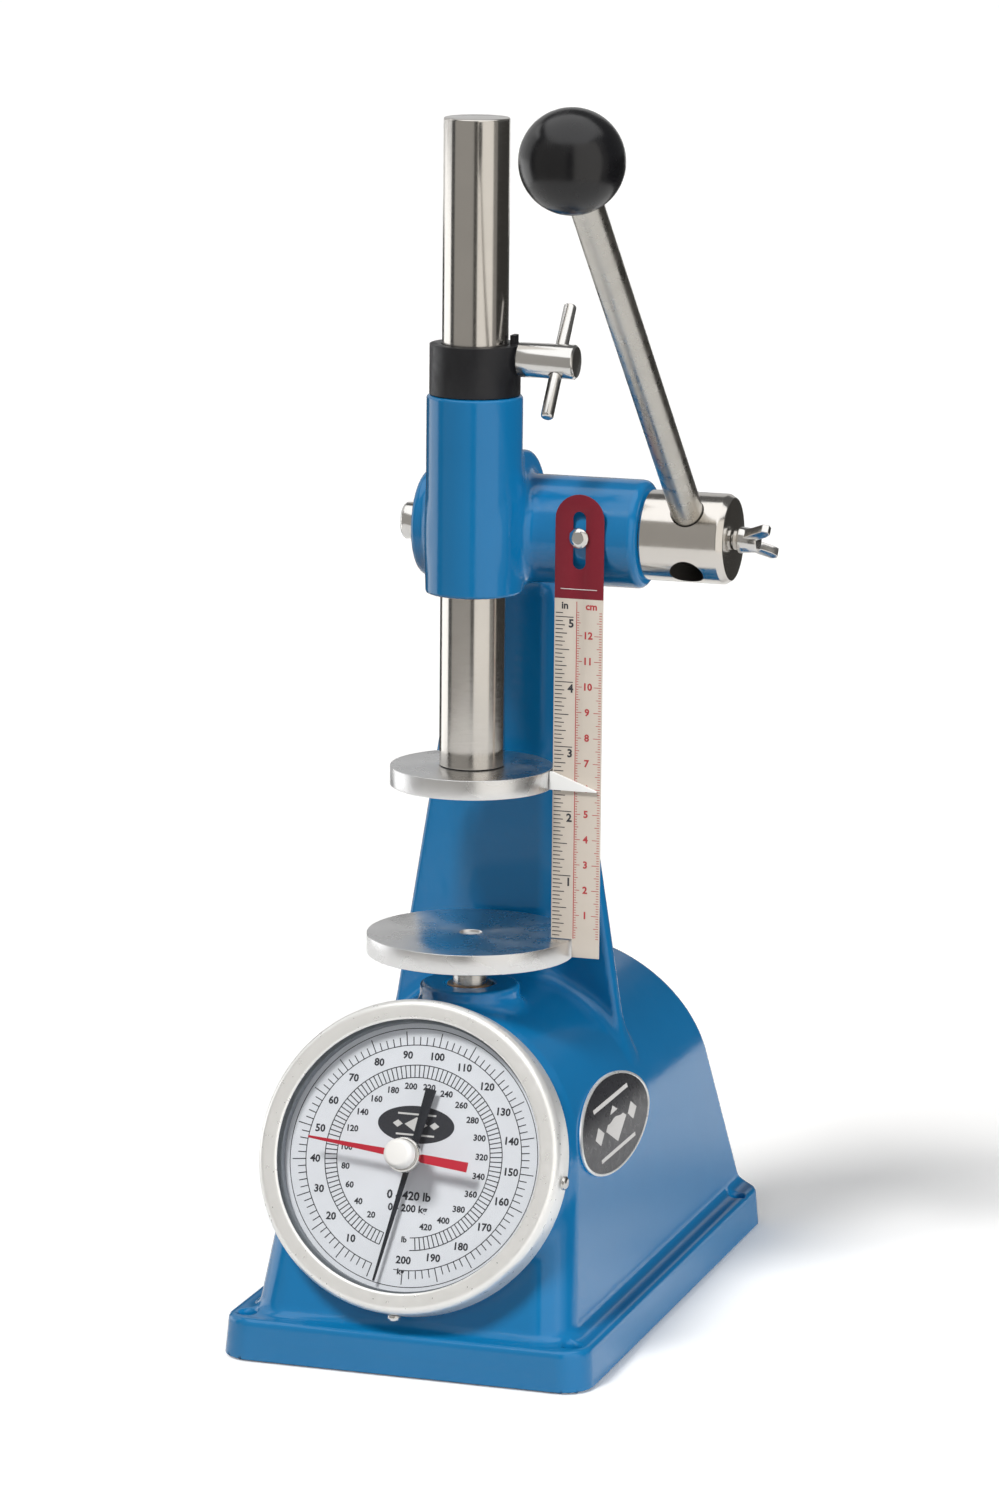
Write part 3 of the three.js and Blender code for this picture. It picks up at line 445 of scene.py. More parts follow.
def add_text(bm, text, size, matrix):
    """Figures of that height in mm, centred on the matrix's origin and facing its +Z."""
    curve = bpy.data.curves.new("figures", "FONT")
    curve.body, curve.align_x, curve.align_y = text, "CENTER", "CENTER"
    thick, em_per_height, weight = 0.1, 1.38, 0.045
    curve.size, curve.extrude, curve.resolution_u = size * MM * em_per_height, thick * MM / 2, 2
    curve.offset = weight * size * MM
    holder = bpy.data.objects.new("figures", curve)
    bpy.context.scene.collection.objects.link(holder)
    bpy.context.view_layer.update()
    made = bpy.data.meshes.new_from_object(holder.evaluated_get(bpy.context.evaluated_depsgraph_get()))
    made.transform(matrix)
    bm.from_mesh(made)
    bpy.data.objects.remove(holder)
    bpy.data.meshes.remove(made)


# ------------------------------------------------------------------ the casting, as one smooth implicit form
def smooth_min(a, b, k):
    h = np.maximum(k - np.abs(a - b), 0) / k
    return np.minimum(a, b) - h * h * k * 0.25


def smooth_max(a, b, k):
    return -smooth_min(-a, -b, k)


def round_max(a, b, r):
    return np.minimum(-r, np.maximum(a, b)) + np.hypot(np.maximum(a + r, 0), np.maximum(b + r, 0))


def surface_net(field, origin, step):
    """Vertices and quads of the surface where the field is zero."""
    shape = np.array(field.shape) - 1
    cells, points, quads = [], [], []
    for axis in range(3):
        a = np.moveaxis(field, axis, 0)[:-1]
        b = np.moveaxis(field, axis, 0)[1:]
        crossing = np.argwhere((a < 0) != (b < 0))
        va, vb = a[tuple(crossing.T)], b[tuple(crossing.T)]
        u, v = (axis + 1) % 3, (axis + 2) % 3
        index = np.empty((len(crossing), 3), np.int64)
        index[:, axis] = crossing[:, 0]
        rest = [d for d in range(3) if d != axis]
        index[:, rest[0]], index[:, rest[1]] = crossing[:, 1], crossing[:, 2]
        at = index.astype(np.float64)
        at[:, axis] += va / (va - vb)
        ring = []
        for du, dv in ((-1, -1), (0, -1), (0, 0), (-1, 0)):
            cell = index.copy()
            cell[:, u] += du
            cell[:, v] += dv
            ring.append(np.ravel_multi_index(cell.T, shape))
        ring = np.stack(ring, 1)
        ring[va > 0] = ring[va > 0][:, ::-1]
        cells.append(ring)
        points.append(np.repeat(at, 4, axis=0))
    cells, points = np.concatenate(cells), np.concatenate(points)
    used, where = np.unique(cells.ravel(), return_inverse=True)
    count = np.bincount(where).astype(float)
    place = np.stack([np.bincount(where, points[:, d]) / count for d in range(3)], 1)
    return place * step + origin, where.reshape(-1, 4)


def casting_field(x, y, z):
    """Distance in mm from the casting's surface, negative inside it."""
    lean, front, back = FLANK_LEAN, DIAL_LEAN, math.radians(26)
    ax = np.abs(x)
    arch = np.where(z - CROWN_Z > ax * math.tan(lean), np.hypot(x, z - CROWN_Z) - CROWN_R,
                    (ax - HALF_WIDTH + FLANK_SLOPE * (z - PLINTH_TOP)) * math.cos(lean))
    face = (-76.5 + math.tan(front) * (z - PLINTH_TOP) - y) * math.cos(front)
    rear = (y - 173 + math.tan(back) * (z - PLINTH_TOP)) * math.cos(back)
    housing = np.maximum(round_max(round_max(arch, face, 15), rear, 3), 12 - z)
    grow = 1.2 * (1 - z / PLINTH_TOP)
    plan = box_edge(ax - (61 + grow), np.abs(y - 45.5) - (116.5 + grow)) - 12
    plinth = round_max(plan, z - PLINTH_TOP, 2.2)
    # Pad behind the dial and boss round the spindle
    w = -(y - DIAL_Y) * math.cos(front) + (z - DIAL_Z) * math.sin(front)
    v = (y - DIAL_Y) * math.sin(front) + (z - DIAL_Z) * math.cos(front)
    from_dial = np.hypot(x - DIAL_X, v)
    pad = np.maximum(round_max(from_dial - 57 + 0.25 * np.maximum(-24 - w, 0), w + 17.6, 1.5), -52 - w)
    boss = round_max(np.hypot(x, y) - 19.5, z - 136, 1.5)
    base = smooth_min(smooth_min(smooth_min(housing, pad, 5), boss, 5), plinth, 5)
    # Column: a tapering plate with a rib behind it
    half = np.maximum(40.2 - 0.1607 * (z - 156), 18.6)
    web = round_max(round_max((ax - half) * 0.987, np.abs(y - 50.5) - 4, 2.6), np.abs(z - 205) - 108, 2)
    slope = (y - 106) * 0.9659 + (z - 112) * 0.2583
    rib = round_max(round_max(ax - 14, slope, 3), np.maximum(48 - y, np.abs(z - 205) - 108), 1)
    column = smooth_min(web, rib, 12)
    # Head: guide, cross tube and drum
    ry = np.hypot(y - AXLE_Y, z - AXLE_Z)
    guide = round_max(np.hypot(x, y) - 18.5, np.abs(z - GUIDE_MIDDLE) - 38.5, 1.2)
    tube = round_max(ry - 21, np.abs(x - 18.4) - 45.2, 3)
    drum = smooth_max(round_max(ry - 30, ax - 14, 2), np.minimum(HEAD_UNDERSIDE - z, 47.5 - y), 1.5)
    head = smooth_max(smooth_min(smooth_min(tube, drum, 5), guide, 7), HEAD_UNDERSIDE - z, 1.2)
    solid = smooth_min(smooth_min(column, head, 9), base, 6)
    # The hollow inside, with a lug round each cover screw, then the holes
    inside = np.maximum(round_max(round_max(arch + 7, face + 7, 8), rear + 7, 3), 6 - z)
    inside = np.minimum(inside, np.maximum(np.maximum(ax - 57, np.abs(y - 45) - 113), z - 8))
    for at in COVER_SCREW_Y:
        lug = np.maximum(np.maximum(np.abs(ax - COVER_SCREW_X) - 5, np.abs(y - at) - 6), z - 14)
        inside = np.maximum(inside, -lug)
    rebate = box_edge(ax - 58.3, np.abs(y - 45) - 112.8) - 6
    holes = [
        (inside, 1.5),
        (np.maximum(rebate, z - 3), 0.8),
        (np.maximum(np.hypot(x, y) - 9.3, 100 - z), 1.5),
        (np.maximum(from_dial - 44.6, np.abs(w + 35) - 25), 1.5),
        (np.maximum(np.hypot(x, y) - 13, np.abs(z - GUIDE_MIDDLE) - 60), 1.5),
        (np.maximum(ry - 13.8, np.abs(x - 29.5) - 40), 1.5),
        (np.maximum(ry - 9.3, np.abs(x + 18) - 18), 1.5),
        (np.maximum(np.hypot(x - 42.4, z - 313.8) - 2.3, np.abs(y - 4.5) - 6.5), 1.0),
    ]
    holes += [(np.maximum(np.hypot(ax - bx, y - by) - 3.2, np.abs(z - 8) - 20), 1.6) for bx, by in BOLT_HOLES]
    holes += [(np.maximum(np.hypot(ax - COVER_SCREW_X, y - by) - 1.9, z - 10), 0.6) for by in COVER_SCREW_Y]
    for hole, k in holes:
        solid = smooth_max(solid, -hole, k)
    return np.maximum(solid, -z)


def box_edge(qx, qy):
    return np.hypot(np.maximum(qx, 0), np.maximum(qy, 0)) + np.minimum(np.maximum(qx, qy), 0)


def casting():
    step = 1.4
    axes = [np.arange(low, high, step) for low, high in ((-76.3, 79), (-88, 181), (-3, 374))]
    field = casting_field(*np.ix_(*axes))
    place, quads = surface_net(field, np.array([a[0] for a in axes]), step)
    for _ in range(3):
        value, normal = casting_slope(place)
        place -= normal * np.clip(value, -0.6, 0.6)[:, None]
    place[:, 2] = np.maximum(place[:, 2], 0)
    normal = casting_slope(place)[1]
    mesh = bpy.data.meshes.new("casting")
    mesh.vertices.add(len(place))
    mesh.vertices.foreach_set("co", (place * MM).ravel())
    mesh.loops.add(quads.size)
    mesh.loops.foreach_set("vertex_index", quads.ravel())
    mesh.polygons.add(len(quads))
    mesh.polygons.foreach_set("loop_start", np.arange(0, quads.size, 4))
    mesh.polygons.foreach_set("use_smooth", [True] * len(quads))
    mesh.update(calc_edges=True)
    mesh.validate()
    mesh.normals_split_custom_set_from_vertices(normal)
    mesh.materials.append(PAINT)
    obj = bpy.data.objects.new("casting", mesh)
    bpy.context.scene.collection.objects.link(obj)
    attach(obj, "frame")
    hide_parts("frame_casting")


def casting_slope(place, reach=0.02):
    """The field at each point and the direction in which it grows."""
    value = casting_field(*place.T)
    ahead = [casting_field(*(place + reach * unit).T) for unit in np.eye(3)]
    slope = (np.stack(ahead, 1) - value[:, None]) / reach
    return value, slope / np.maximum(np.linalg.norm(slope, axis=1), 1e-6)[:, None]


casting()

# ------------------------------------------------------------------ the dial
DIAL = (Matrix.Translation(Vector((DIAL_X, DIAL_Y, DIAL_Z)) * MM)
        @ Matrix.Rotation(math.pi / 2 - DIAL_LEAN, 4, "X"))
FACE = -8.6  # the dial's printed face, in mm behind the bezel's front
ZERO = 195.8  # where both scales begin, in degrees clockwise from the top


def spot(angle, radius, z=0.0, turn=True):
    """The dial's frame, moved out along an angle clockwise from the top, in mm."""
    t = math.radians(angle)
    place = Matrix.Translation(Vector((radius * math.sin(t), radius * math.cos(t), z)) * MM)
    return DIAL @ place @ (Matrix.Rotation(-t, 4, "Z") if turn else Matrix.Identity(4))


def bezel():
    profile = [(52.4, -0.5), (53.2, 0.0), (58.6, 0.0), (60.4, -2.6),
               (60.4, -14.5), (54.6, -14.5), (54.6, -1.2), (52.4, -1.2)]
    radii = [0.3, 0.5, 1.6, 1.6, 0.6, 0.4, 0.3, 0.2]
    ring = piece("bezel_ring", lathe(rounded(profile, radii), 192, DIAL), BEZEL_METAL, "frame",
                 ["bezel"])
    cutters = []
    for turn in (0, 86):
        t = math.radians(turn)
        out = DIAL.to_3x3() @ Vector((math.sin(t), -math.cos(t), 0))
        start = DIAL @ (Vector((math.sin(t) * 52, -math.cos(t) * 52, -7.4)) * MM)
        cutters.append(lathe([(0, 0), (1.9, 0), (1.9, 12), (0, 12)], 24, along(out, start / MM)))
    carve(ring, cutters)


def dial_printing():
    top = FACE + 0.05
    low = FACE - 0.02
    lines = bmesh.new()
    add_arc(lines, 43.2, 0.34, ZERO, ZERO + 348, low, top, DIAL)
    add_arc(lines, 35.5, 0.36, ZERO, ZERO + 340, low, top, DIAL)
    add_arc(lines, 30.7, 0.34, ZERO, ZERO + 340, low, top, DIAL)
    add_arc(lines, 49.6, 0.30, 0, 360, low, top, DIAL)
    piece("dial_circles", lines, INK, "frame", smooth=False)
    ticks = bmesh.new()
    outer_tick, inner_tick = 3.432, 3.1134
    for i in range(101):
        long = 5.4 if i % 5 == 0 else 3.2
        add_slab(ticks, -0.19, 0.19, 0, long, low, top, spot(ZERO + i * outer_tick, 43.2))
    for i in range(109):
        add_slab(ticks, -0.20, 0.20, 0, 4.8, low, top, spot(ZERO + i * inner_tick, 30.7))
    piece("dial_ticks", ticks, INK, "frame", smooth=False)
    figures = bmesh.new()
    for i in range(1, 21):
        add_text(figures, str(10 * i), 2.9, spot(ZERO + i * 5 * outer_tick, 39.4, FACE, False))
    for i in range(1, 22):
        add_text(figures, str(20 * i), 2.4, spot(ZERO + i * 5 * inner_tick, 27.3, FACE, False))
    words = (("0 - 420 lb", -14.8, 3.3), ("0 - 200 kg", -19.6, 2.8), ("lb", -31.5, 2.3), ("kg", -43.8, 2.3))
    for text, y, size in words:
        add_text(figures, text, size, DIAL @ Matrix.Translation(Vector((0, y, FACE)) * MM))
    piece("dial_figures", figures, INK, "frame", smooth=False)
    dial_emblem()


# Three lozenges between two rules, in an oval that reaches 1 each way
RULES = [((-0.5, y), (0.5, y)) for y in (-0.55, 0.55)]
LOZENGES = [(0, 0.30, 0.40), (-0.48, 0.13, 0.20), (0.48, 0.13, 0.20)]


def strips(place, half_long, half_high, width, steps=8):
    """The marks as thin bars; place(u, v, level) gives a point for level 0, the back, or 1, the front."""
    bm = bmesh.new()
    section = ((-1, 0), (1, 0), (1, 1), (-1, 1))
    for (u0, v0), (u1, v1) in RULES:
        a, b = Vector((u0 * half_long, v0 * half_high)), Vector((u1 * half_long, v1 * half_high))
        side = (b - a).orthogonal().normalized() * width / 2
        rings = []
        for k in range(steps + 1):
            p = a.lerp(b, k / steps)
            rings.append([bm.verts.new(place(*(p + side * s), level)) for s, level in section])
        for one, two in zip(rings, rings[1:]):
            for i in range(4):
                bm.faces.new([one[i], one[(i + 1) % 4], two[(i + 1) % 4], two[i]])
        bm.faces.new(rings[0][::-1])
        bm.faces.new(rings[-1])
    for middle, wide, high in LOZENGES:
        corners = [(middle - wide, 0), (middle, -high), (middle + wide, 0), (middle, high)]
        low, top = [[bm.verts.new(place(u * half_long, v * half_high, level)) for u, v in corners]
                    for level in (0, 1)]
        bm.faces.new(low[::-1])
        bm.faces.new(top)
        for i in range(4):
            bm.faces.new([low[i], low[(i + 1) % 4], top[(i + 1) % 4], top[i]])
    bmesh.ops.recalc_face_normals(bm, faces=bm.faces)
    return bm


def dial_emblem():
    """A dark oval with the plain marks in it."""
    middle = DIAL @ Matrix.Translation(Vector((-0.3, 12.6, FACE)) * MM)
    turns = np.linspace(0, 2 * math.pi, 72, endpoint=False)
    oval = [(OVAL_HALF_LONG * math.cos(t), OVAL_HALF_HIGH * math.sin(t)) for t in turns]
    dark = bmesh.new()
    add_outline(dark, oval, -0.02, 0.05, middle)
    piece("dial_oval", dark, INK, "frame", smooth=False)
    marks = strips(lambda u, v, level: middle @ (Vector((u, v, 0.04 + 0.05 * level)) * MM),
                   OVAL_HALF_LONG, OVAL_HALF_HIGH, 0.7)
    piece("dial_oval_marks", marks, PALE_INK, "frame", smooth=False)


def on_flank(u, v, gap):
    """A place on the housing's right flank, gap mm out from its face."""
    z, r = 82.3 + v, CROWN_R + gap
    if z - CROWN_Z > r * math.sin(FLANK_LEAN):
        x = math.sqrt(r * r - (z - CROWN_Z) ** 2)
    else:
        x = HALF_WIDTH - FLANK_SLOPE * (z - PLINTH_TOP) + gap / math.cos(FLANK_LEAN)
    return Vector((x, 7.2 + u, z)) * MM


def flank_oval(rings, sides=120):
    """A closed oval skin over [size, gap] rings from one middle point to the other."""
    bm = bmesh.new()
    rows = []
    for size, gap in rings:
        turns = [2 * math.pi * i / sides for i in range(sides)] if size else [0]
        long, high = BADGE_HALF_LONG * size, BADGE_HALF_HIGH * size
        rows.append([bm.verts.new(on_flank(long * math.cos(t), high * math.sin(t), gap)) for t in turns])
    skin(bm, rows, sides)
    return bm


def flank_badge():
    inner = (0, 0.2, 0.4, 0.6, 0.8)
    back = [(k, 0.3) for k in inner] + [(0.99, 0.3), (1, 0.45)]
    rim = back + [(1, 1.1), (0.99, 1.28), (0.965, 1.28), (0.955, 1.0)] + [(k, 1.0) for k in reversed(inner)]
    piece("badge_rim", flank_oval(rim), BEZEL_METAL, "frame", ["flank_plate"])
    field = [(k, 0.95) for k in inner] + [(0.953, 0.95), (0.953, 1.06)] + [(k, 1.1) for k in reversed(inner)]
    piece("badge_field", flank_oval(field), BADGE_BLACK, "frame")
    marks = strips(lambda u, v, level: on_flank(u, v, 1.08 + 0.1 * level),
                   BADGE_HALF_LONG, BADGE_HALF_HIGH, 1.5)
    piece("badge_marks", marks, PALE_INK, "frame", smooth=False)


def hands():
    knob = [(0, -2.8), (1.35, -2.8), (1.35, 5.9), (4.9, 5.9), (5.7, 6.6), (5.7, 11.0), (4.6, 12.5), (0, 12.8)]
    piece("hand_knob_fine", lathe(rounded(knob, 0.7), 64, DIAL), WHITE_KNOB, "red_hand",
          ["hand_knob"])
    collar = [(1.7, 1.5), (6.2, 1.5), (6.8, 2.1), (6.8, 5.0), (6.2, 5.6), (1.7, 5.6)]
    piece("hand_collar_fine", lathe(rounded(collar, 0.3), 64, DIAL), BRIGHT_STEEL, "red_hand",
          ["hand_collar"])


bezel()
dial_printing()
hands()
refined("main_pointer", BLACK_POINTER, 0.08)
refined("red_hand", RED_POINTER, 0.08)


def disc(name, inner, outer, low, high, edge, material, node):
    """A flat ring round the dial's axis."""
    profile = rounded([(inner, low), (outer, low), (outer, high), (inner, high)], edge)
    piece(name, lathe(profile, 160, DIAL), material, "frame", [node])


disc("lens_disc", 1.6, 54.3, -3.4, -1.5, 0.2, LENS_GLASS, "lens")
disc("dial_disc", 2.4, 53.7, -10.2, FACE, 0.1, DIAL_PAPER, "dial_plate")
disc("spacer_ring", 51.5, 54.3, -8.3, -3.9, 0.2, SPACER_METAL, "lens_gasket")

# ------------------------------------------------------------------ platens, ram and ruler
PLATEN_EDGE = 0.45
lower = rounded([(0, 154.8), (4.3, 154.8), (4.6, SCALE_ZERO), (40.5, SCALE_ZERO), (40.5, 148.1), (0, 148.1)],
                [0, 0.2, 0.25, PLATEN_EDGE, PLATEN_EDGE, 0])
piece("lower_platen_fine", lathe(lower, 192), PLATEN_FACE, "platen", ["lower_platen"])
upper = rounded([(7.3, 222.5), (31.7, 222.5), (31.7, 214.8), (5.2, 214.8),
                 (5.2, 215.0), (2.4, 217.8), (2.4, 219.8), (7.3, 219.8)],
                [0.1, PLATEN_EDGE, PLATEN_EDGE, 0.05, 0.05, 0.05, 0.05, 0.05])
piece("upper_platen_fine", lathe(upper, 192), PLATEN_FACE, "ram", ["upper_platen"])


def ram():
    profile = [(0, 232), (2.3, 232), (2.3, 220.1), (6.9, 220.1), (6.9, 222.8), (12.7, 222.8), (12.7, 473.0),
               (0, 473.0)]
    radii = [0, 0.1, 0.3, 0.3, 0.2, 0.3, 0.9, 0]
    bar = piece("ram_bar", lathe(rounded(profile, radii), 128), RAM_STEEL, "ram", ["ram"])
    # The rack: teeth of module 1.5875 that mesh with a pinion of pitch radius 11.1125 on the axle
    pitch, pinion_r, backlash = math.pi * 1.5875, 11.1125, 0.1
    pitch_y, flank = AXLE_Y - pinion_r, math.tan(math.radians(20))
    root, tip = pitch_y - 1.905, pitch_y + 0.98425
    first, last = -17, 28
    bottom, top = AXLE_Z + (first - 0.5) * pitch, AXLE_Z + (last + 0.5) * pitch
    comb = [(14, top), (14, bottom), (tip, bottom)]
    for k in range(first, last + 1):
        middle = AXLE_Z + k * pitch
        narrow, wide = (pitch / 4 + backlash + (y - pitch_y) * flank for y in (root, tip))
        comb += [(tip, middle - wide), (root, middle - narrow), (root, middle + narrow), (tip, middle + wide)]
    comb.append((tip, top))
    cutter = bmesh.new()
    add_outline(cutter, comb, -14, 14, Matrix(((0, 0, 1, 0), (1, 0, 0, 0), (0, 1, 0, 0), (0, 0, 0, 1))))
    bmesh.ops.recalc_face_normals(cutter, faces=cutter.faces)
    carve(bar, [cutter])


refined("platen_screw", ZINC, 0.15)
refined("platen_pointer", WHITE_PAINT, 0.15)
refined("ruler", RULER_PAINT, 0.12)
refined("spindle", SPINDLE_STEEL, 0.3)
refined("spindle_bush", BRONZE, 0.3)


def ruler_marks():
    """Ticks and figures printed on the ruler's face at y 0.1."""
    y0, y1 = 0.1 - 0.045, 0.1 + 0.02
    inch = 25.4
    black, red = bmesh.new(), bmesh.new()
    for i in range(1, 82):
        z = SCALE_ZERO + i * inch / 16
        long = next(size for step, size in ((16, 7.2), (8, 5.6), (4, 4.6), (2, 3.8), (1, 2.9)) if i % step == 0)
        add_slab(black, 33.3, 33.3 + long, y0, y1, z - 0.17, z + 0.17)
    for i in range(1, 130):
        z = SCALE_ZERO + i
        long = next(size for step, size in ((10, 3.0), (5, 2.0), (1, 1.1)) if i % step == 0)
        add_slab(red, 42.0, 42.0 + long * 0.7, y0, y1, z - 0.12, z + 0.12)
        add_slab(red, 51.9 - long, 51.9, y0, y1, z - 0.12, z + 0.12)
    add_slab(red, 41.6, 41.9, y0, y1, 156.6, 289.2)

    def put(bm, text, size, x, z):
        facing = Matrix.Rotation(math.pi / 2, 4, "X")
        add_text(bm, text, size, Matrix.Translation(Vector((x, 0.1, z)) * MM) @ facing)

    for i in range(1, 6):
        put(black, str(i), 3.2, 39.6, SCALE_ZERO + i * inch - 2.6)
    for i in range(1, 13):
        put(red, str(i), 2.8, 46.3, SCALE_ZERO + i * 10)
    put(black, "in", 2.8, 37.0, 287.4)
    put(red, "cm", 2.8, 47.6, 287.4)
    piece("ruler_inches", black, INK, "ruler", smooth=False)
    piece("ruler_centimetres", red, RED_INK, "ruler", smooth=False)
    line = bmesh.new()
    add_slab(line, 35.2, 49.8, y0, y1, 293.8, 294.1)
    piece("ruler_head_line", line, PALE_INK, "ruler", smooth=False)


ram()
ruler_marks()

# ------------------------------------------------------------------ collar, lever and screws
AXLE = Vector((0, AXLE_Y, AXLE_Z))
LEVER_UP = math.radians(43.5)
LEVER = Vector((0, -math.cos(LEVER_UP), math.sin(LEVER_UP)))


def lever():
    barrel = [(0, 64.2), (17.4, 64.2), (17.4, 95), (15.9, 97.5), (0, 97.5)]
    turned_barrel = lathe(rounded(barrel, [0, 0.8, 0.5, 0.4, 0]), 160, along((1, 0, 0), AXLE))
    hub = piece("hub_barrel", turned_barrel, HUB_STEEL, "lever", ["lever_hub"])
    second = Vector((0, -math.cos(LEVER_UP - math.pi / 2), math.sin(LEVER_UP - math.pi / 2)))
    centre = AXLE + Vector((82.3, 0, 0))
    hole = [(0, 9.2), (6.6, 9.2), (6.6, 30), (0, 30)]
    bore = [(0, 60), (8.3, 60), (8.3, 88.4), (2.6, 88.4), (2.6, 110), (0, 110)]
    carve(hub, [lathe(bore, 64, along((1, 0, 0), AXLE))])
    carve(hub, [lathe(hole, 48, along(LEVER, centre))])
    # The spare hole's walls take the near-black painted shade, not a finish of the steel
    spare = lathe(hole, 48, along(second, centre))
    for face in spare.faces:
        face.material_index = 1
    hub.data.materials.append(HOLE_SHADE)
    carve(hub, [spare])
    rod = [(0, 9.6), (6.2, 9.6), (6.2, 212.7), (4.2, 212.7), (4.2, 226.8), (0, 226.8)]
    piece("lever_bar", lathe(rounded(rod, 0.5), 64, along(LEVER, centre)), ROD_STEEL, "lever",
          ["lever_rod"])
    ball_r, ball_z = 19, 230.8
    turns = np.linspace(-1.17, math.pi / 2, 48)[:-1]
    arc = [(ball_r * math.cos(t), ball_z + ball_r * math.sin(t)) for t in turns]
    ball = [(0, 227.2), (4.6, 227.2), (4.6, 213.2), (6.9, 213.0), *arc, (0, ball_z + ball_r)]
    piece("ball", lathe(ball, 128, along(LEVER, centre)), KNOB_BLACK, "lever",
          ["ball_knob"])


lever()
refined("pinion_shaft", SPINDLE_STEEL, 0.15)
refined("shaft_end_screw", BRIGHT_STEEL, 0.4)
refined("right_bush", BRONZE, 0.3)
refined("left_bush", BRONZE, 0.3)
refined("wing_screw", BRIGHT_STEEL, 0.6)
refined("stop_collar", COLLAR_BLACK, 0.5)
refined("clamp_screw", BRIGHT_STEEL, 0.5)
refined("clamp_pin", BRIGHT_STEEL, 0.5)
refined("ruler_screw", BRIGHT_STEEL, 0.3)
for i in (1, 2):
    refined(f"bezel_screw_{i}", BRIGHT_STEEL, 0.2)
for i in range(1, 5):
    refined(f"cover_screw_{i}", ZINC, 0.2)
refined("bottom_cover", ZINC, 0.4)
refined("gauge_case", CASE_BLACK, 0.3)
refined("spring_seat", ZINC, 0.4)
refined("spring_cap", ZINC, 0.4)
refined("spindle_arm", ZINC, 0.4)
spring = refined("weigh_spring", SPRING_WIRE, 0.0, 60)
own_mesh(spring)
for node in ("movement_plate", "movement_bridge", "gauge_rack", "lay_gear"):
    refined(node, BRASS, 0.08)
refined("pointer_arbor", SPINDLE_STEEL, 0.05)

flank_badge()

# ------------------------------------------------------------------ studio
CAMERA_SIDE = 0.31386 - math.pi / 2  # the direction in the plan from which the walls' angles run
WALL_NEAR, WALL_FAR, WALL_FOOT = 0.8, 1.3, 0.001


def shell(name, points, material, **seen):
    """A staged surface over rows of points in metres."""
    bm = bmesh.new()
    rows = [[bm.verts.new(p) for p in row] for row in points]
    for one, two in zip(rows, rows[1:]):
        for i in range(len(one) - 1):
            bm.faces.new([one[i], one[i + 1], two[i + 1], two[i]])
    mesh = bpy.data.meshes.new(name)
    bm.to_mesh(mesh)
    bm.free()
    mesh.materials.append(material)
    obj = bpy.data.objects.new(name, mesh)
    bpy.context.scene.collection.objects.link(obj)
    for key in seen:
        setattr(obj, key, seen[key])


def floor():
    """Pale to the camera, darker to the light that it sends back up, so that the shades stay deep."""
    seen, bounced = (0.93, 0.93, 0.93), (0.36, 0.36, 0.36)
    f = Finish("studio_floor", seen, 0.9)
    path = f.node("ShaderNodeLightPath")
    f.color(f.blend(path.outputs["Is Diffuse Ray"], seen, bounced))
    f.set("Emission Color", (1, 1, 1, 1))
    f.link(f.math("MULTIPLY", path.outputs["Is Camera Ray"], 0.16), f.bsdf.inputs["Emission Strength"])
    grid, below = np.linspace(-30, 30, 31), -0.0004
    shell("floor", [[(x, y, below) for x in grid] for y in grid], f.material)


def glow(name, level, color=(1, 1, 1)):
    material = bpy.data.materials.new(name)
    material.use_nodes = True
    nodes = material.node_tree.nodes
    nodes.clear()
    light, out = nodes.new("ShaderNodeEmission"), nodes.new("ShaderNodeOutputMaterial")
    light.inputs["Color"].default_value = (*color, 1)
    light.inputs["Strength"].default_value = level
    material.node_tree.links.new(light.outputs[0], out.inputs["Surface"])
    return material


def reflection_walls():
    """Softboxes and flags that only mirror-like surfaces see.

    Each band is a start and an end in degrees to the right of the camera's side, then a level, a colour
    and a height.
    """
    white, warm = (1, 1, 1), (1.0, 0.965, 0.91)
    bands = [(-180, -139, 0.06, white, 0.32), (-139, -97, 1.7, white, 1.5), (-97, -80, 0.08, white, 1.5),
             (-80, -9, 0.40, warm, 1.5), (-9, 4, 0.08, warm, 1.5), (4, 60, 1.05, warm, 1.5),
             (60, 76, 0.3, warm, 1.5), (76, 150, 0.05, warm, 0.5), (150, 180, 0.14, white, 0.32)]
    unseen = dict(visible_camera=False, visible_diffuse=False, visible_shadow=False,
                  visible_transmission=False)
    for i, (start, end, level, color, high) in enumerate(bands):
        rows = []
        for k in range(13):
            t = math.radians(start + (end - start) * k / 12) + CAMERA_SIDE
            section = ((WALL_NEAR, WALL_FOOT), (WALL_FAR, WALL_FOOT), (WALL_FAR, high))
            rows.append([(r * math.cos(t), r * math.sin(t), z) for r, z in section])
        shell(f"wall_{i}", rows, glow(f"wall_{i}", level, color), **unseen)
    rows = []
    for k in range(25):
        t = math.radians(155 + 110 * k / 24) + CAMERA_SIDE
        rows.append([(WALL_FAR * math.cos(t), WALL_FAR * math.sin(t), z) for z in (0.42, 1.3)])
    shell("rear_card", rows, glow("rear_card", 0.62), **unseen)
    rows = [[(x, y, 1.5) for x in (-0.9, 0.0, 1.1)] for y in (-1.6, -0.6, 0.5)]
    shell("top_card", rows, glow("top_card", 1.5), **unseen)


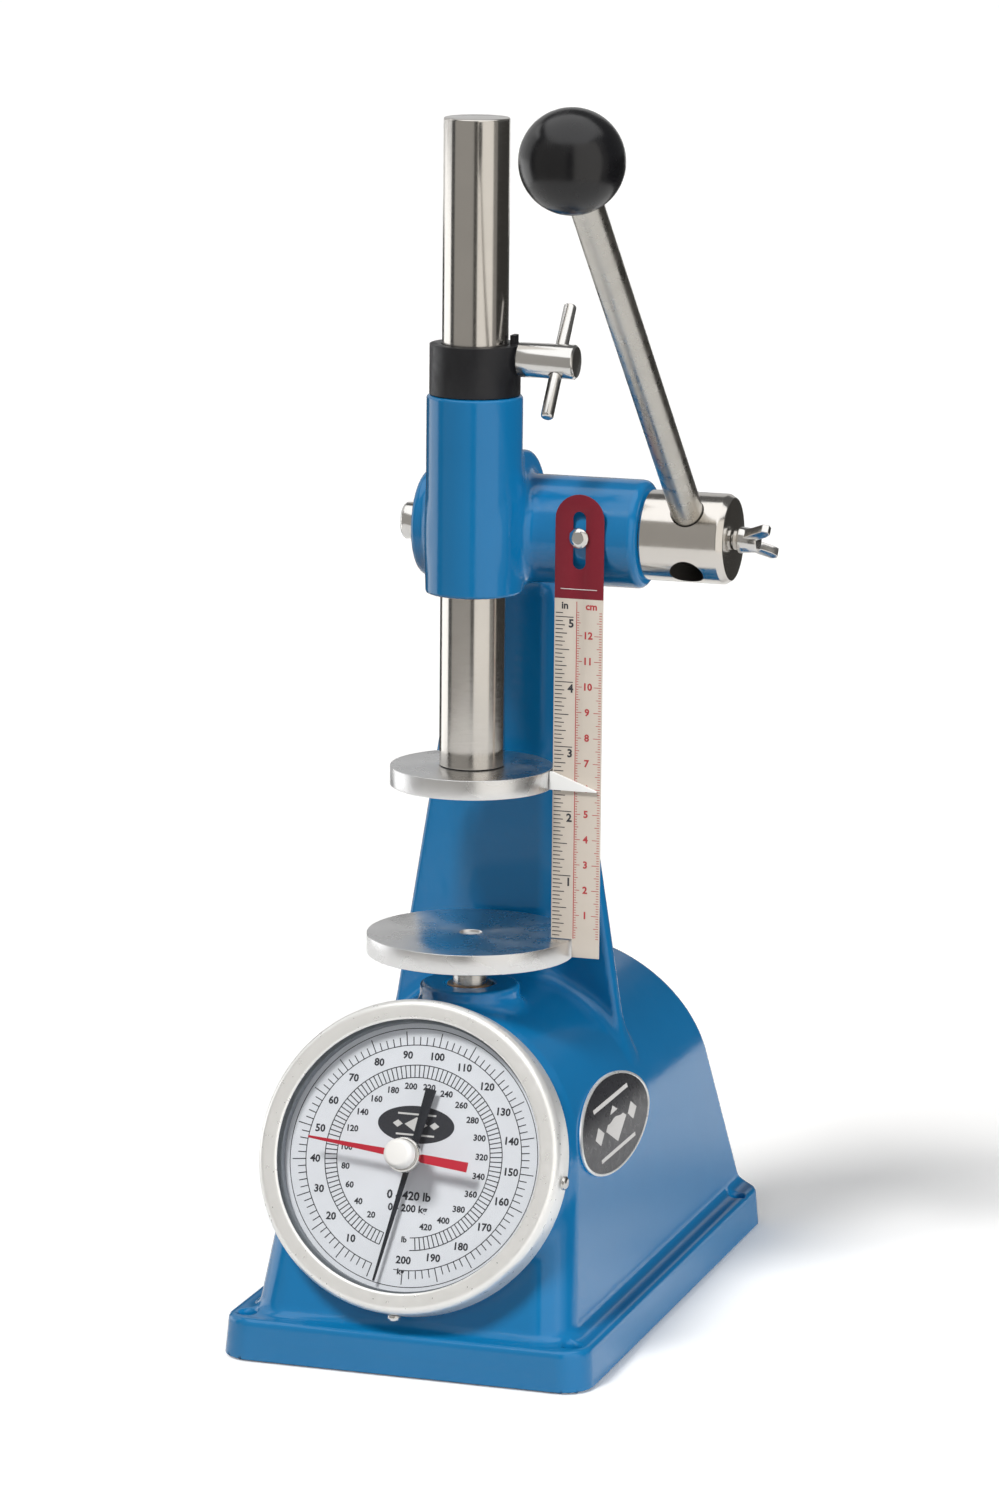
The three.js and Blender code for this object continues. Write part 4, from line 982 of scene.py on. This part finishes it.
def world():
    """White, at one level for plain light, one for reflections and one for what the camera sees."""
    made = bpy.data.worlds.new("studio")
    bpy.context.scene.world = made
    made.use_nodes = True
    nodes, links = made.node_tree.nodes, made.node_tree.links
    path, out = nodes.new("ShaderNodeLightPath"), nodes["World Output"]
    levels = [nodes["Background"], nodes.new("ShaderNodeBackground"), nodes.new("ShaderNodeBackground")]
    for background, level in zip(levels, (0.25, 0.13, 1.05)):
        background.inputs["Color"].default_value = (1, 1, 1, 1)
        background.inputs["Strength"].default_value = level
    before = levels[0].outputs[0]
    for kind, background in (("Is Glossy Ray", levels[1]), ("Is Camera Ray", levels[2])):
        mix = nodes.new("ShaderNodeMixShader")
        links.new(path.outputs[kind], mix.inputs[0])
        links.new(before, mix.inputs[1])
        links.new(background.outputs[0], mix.inputs[2])
        before = mix.outputs[0]
    links.new(before, out.inputs["Surface"])


def sun(name, energy, angle, towards, color, shadow=True):
    """A soft sun that no mirror-like surface shows."""
    light = bpy.data.lights.new(name, "SUN")
    light.energy, light.angle, light.color, light.use_shadow = energy, math.radians(angle), color, shadow
    obj = bpy.data.objects.new(name, light)
    obj.rotation_euler = Vector(towards).to_track_quat("Z", "Y").to_euler()
    obj.visible_glossy = False
    bpy.context.scene.collection.objects.link(obj)


def camera():
    """Looks at a point 200 mm up the ram's axis, then pans, tilts and rolls a little, in radians."""
    azimuth, pitch, roll, pan, tilt = 0.31386227, 0.21020029, -0.00816467, 0.00481358, 0.01252424
    back = Vector((math.sin(azimuth) * math.cos(pitch), -math.cos(azimuth) * math.cos(pitch),
                   math.sin(pitch)))
    right = Vector((math.cos(azimuth), math.sin(azimuth), 0))
    up, ahead = back.cross(right), -back
    x1 = right * math.cos(pan) - ahead * math.sin(pan)
    z1 = right * math.sin(pan) + ahead * math.cos(pan)
    y1 = up * math.cos(tilt) - z1 * math.sin(tilt)
    look = up * math.sin(tilt) + z1 * math.cos(tilt)
    cam_x = x1 * math.cos(roll) - y1 * math.sin(roll)
    cam_y = x1 * math.sin(roll) + y1 * math.cos(roll)
    data = bpy.data.cameras.new("camera")
    data.lens, data.sensor_width, data.clip_end = 137.354, 36, 60
    distance = 2.2229673
    obj = bpy.data.objects.new("camera", data)
    turn = Matrix((cam_x, cam_y, -look)).transposed().to_4x4()
    obj.matrix_world = Matrix.Translation(Vector((0, 0, 0.2)) + back * distance) @ turn
    bpy.context.scene.collection.objects.link(obj)
    bpy.context.scene.camera = obj


floor()
reflection_walls()
world()
sun("key", 2.7, 14, (-0.22, -0.60, 0.77), (1.0, 0.985, 0.96))
sun("fill", 2.4, 40, (0.95, -0.20, 0.10), (0.96, 0.98, 1.0), False)
camera()
bpy.context.scene.view_settings.view_transform = "Standard"
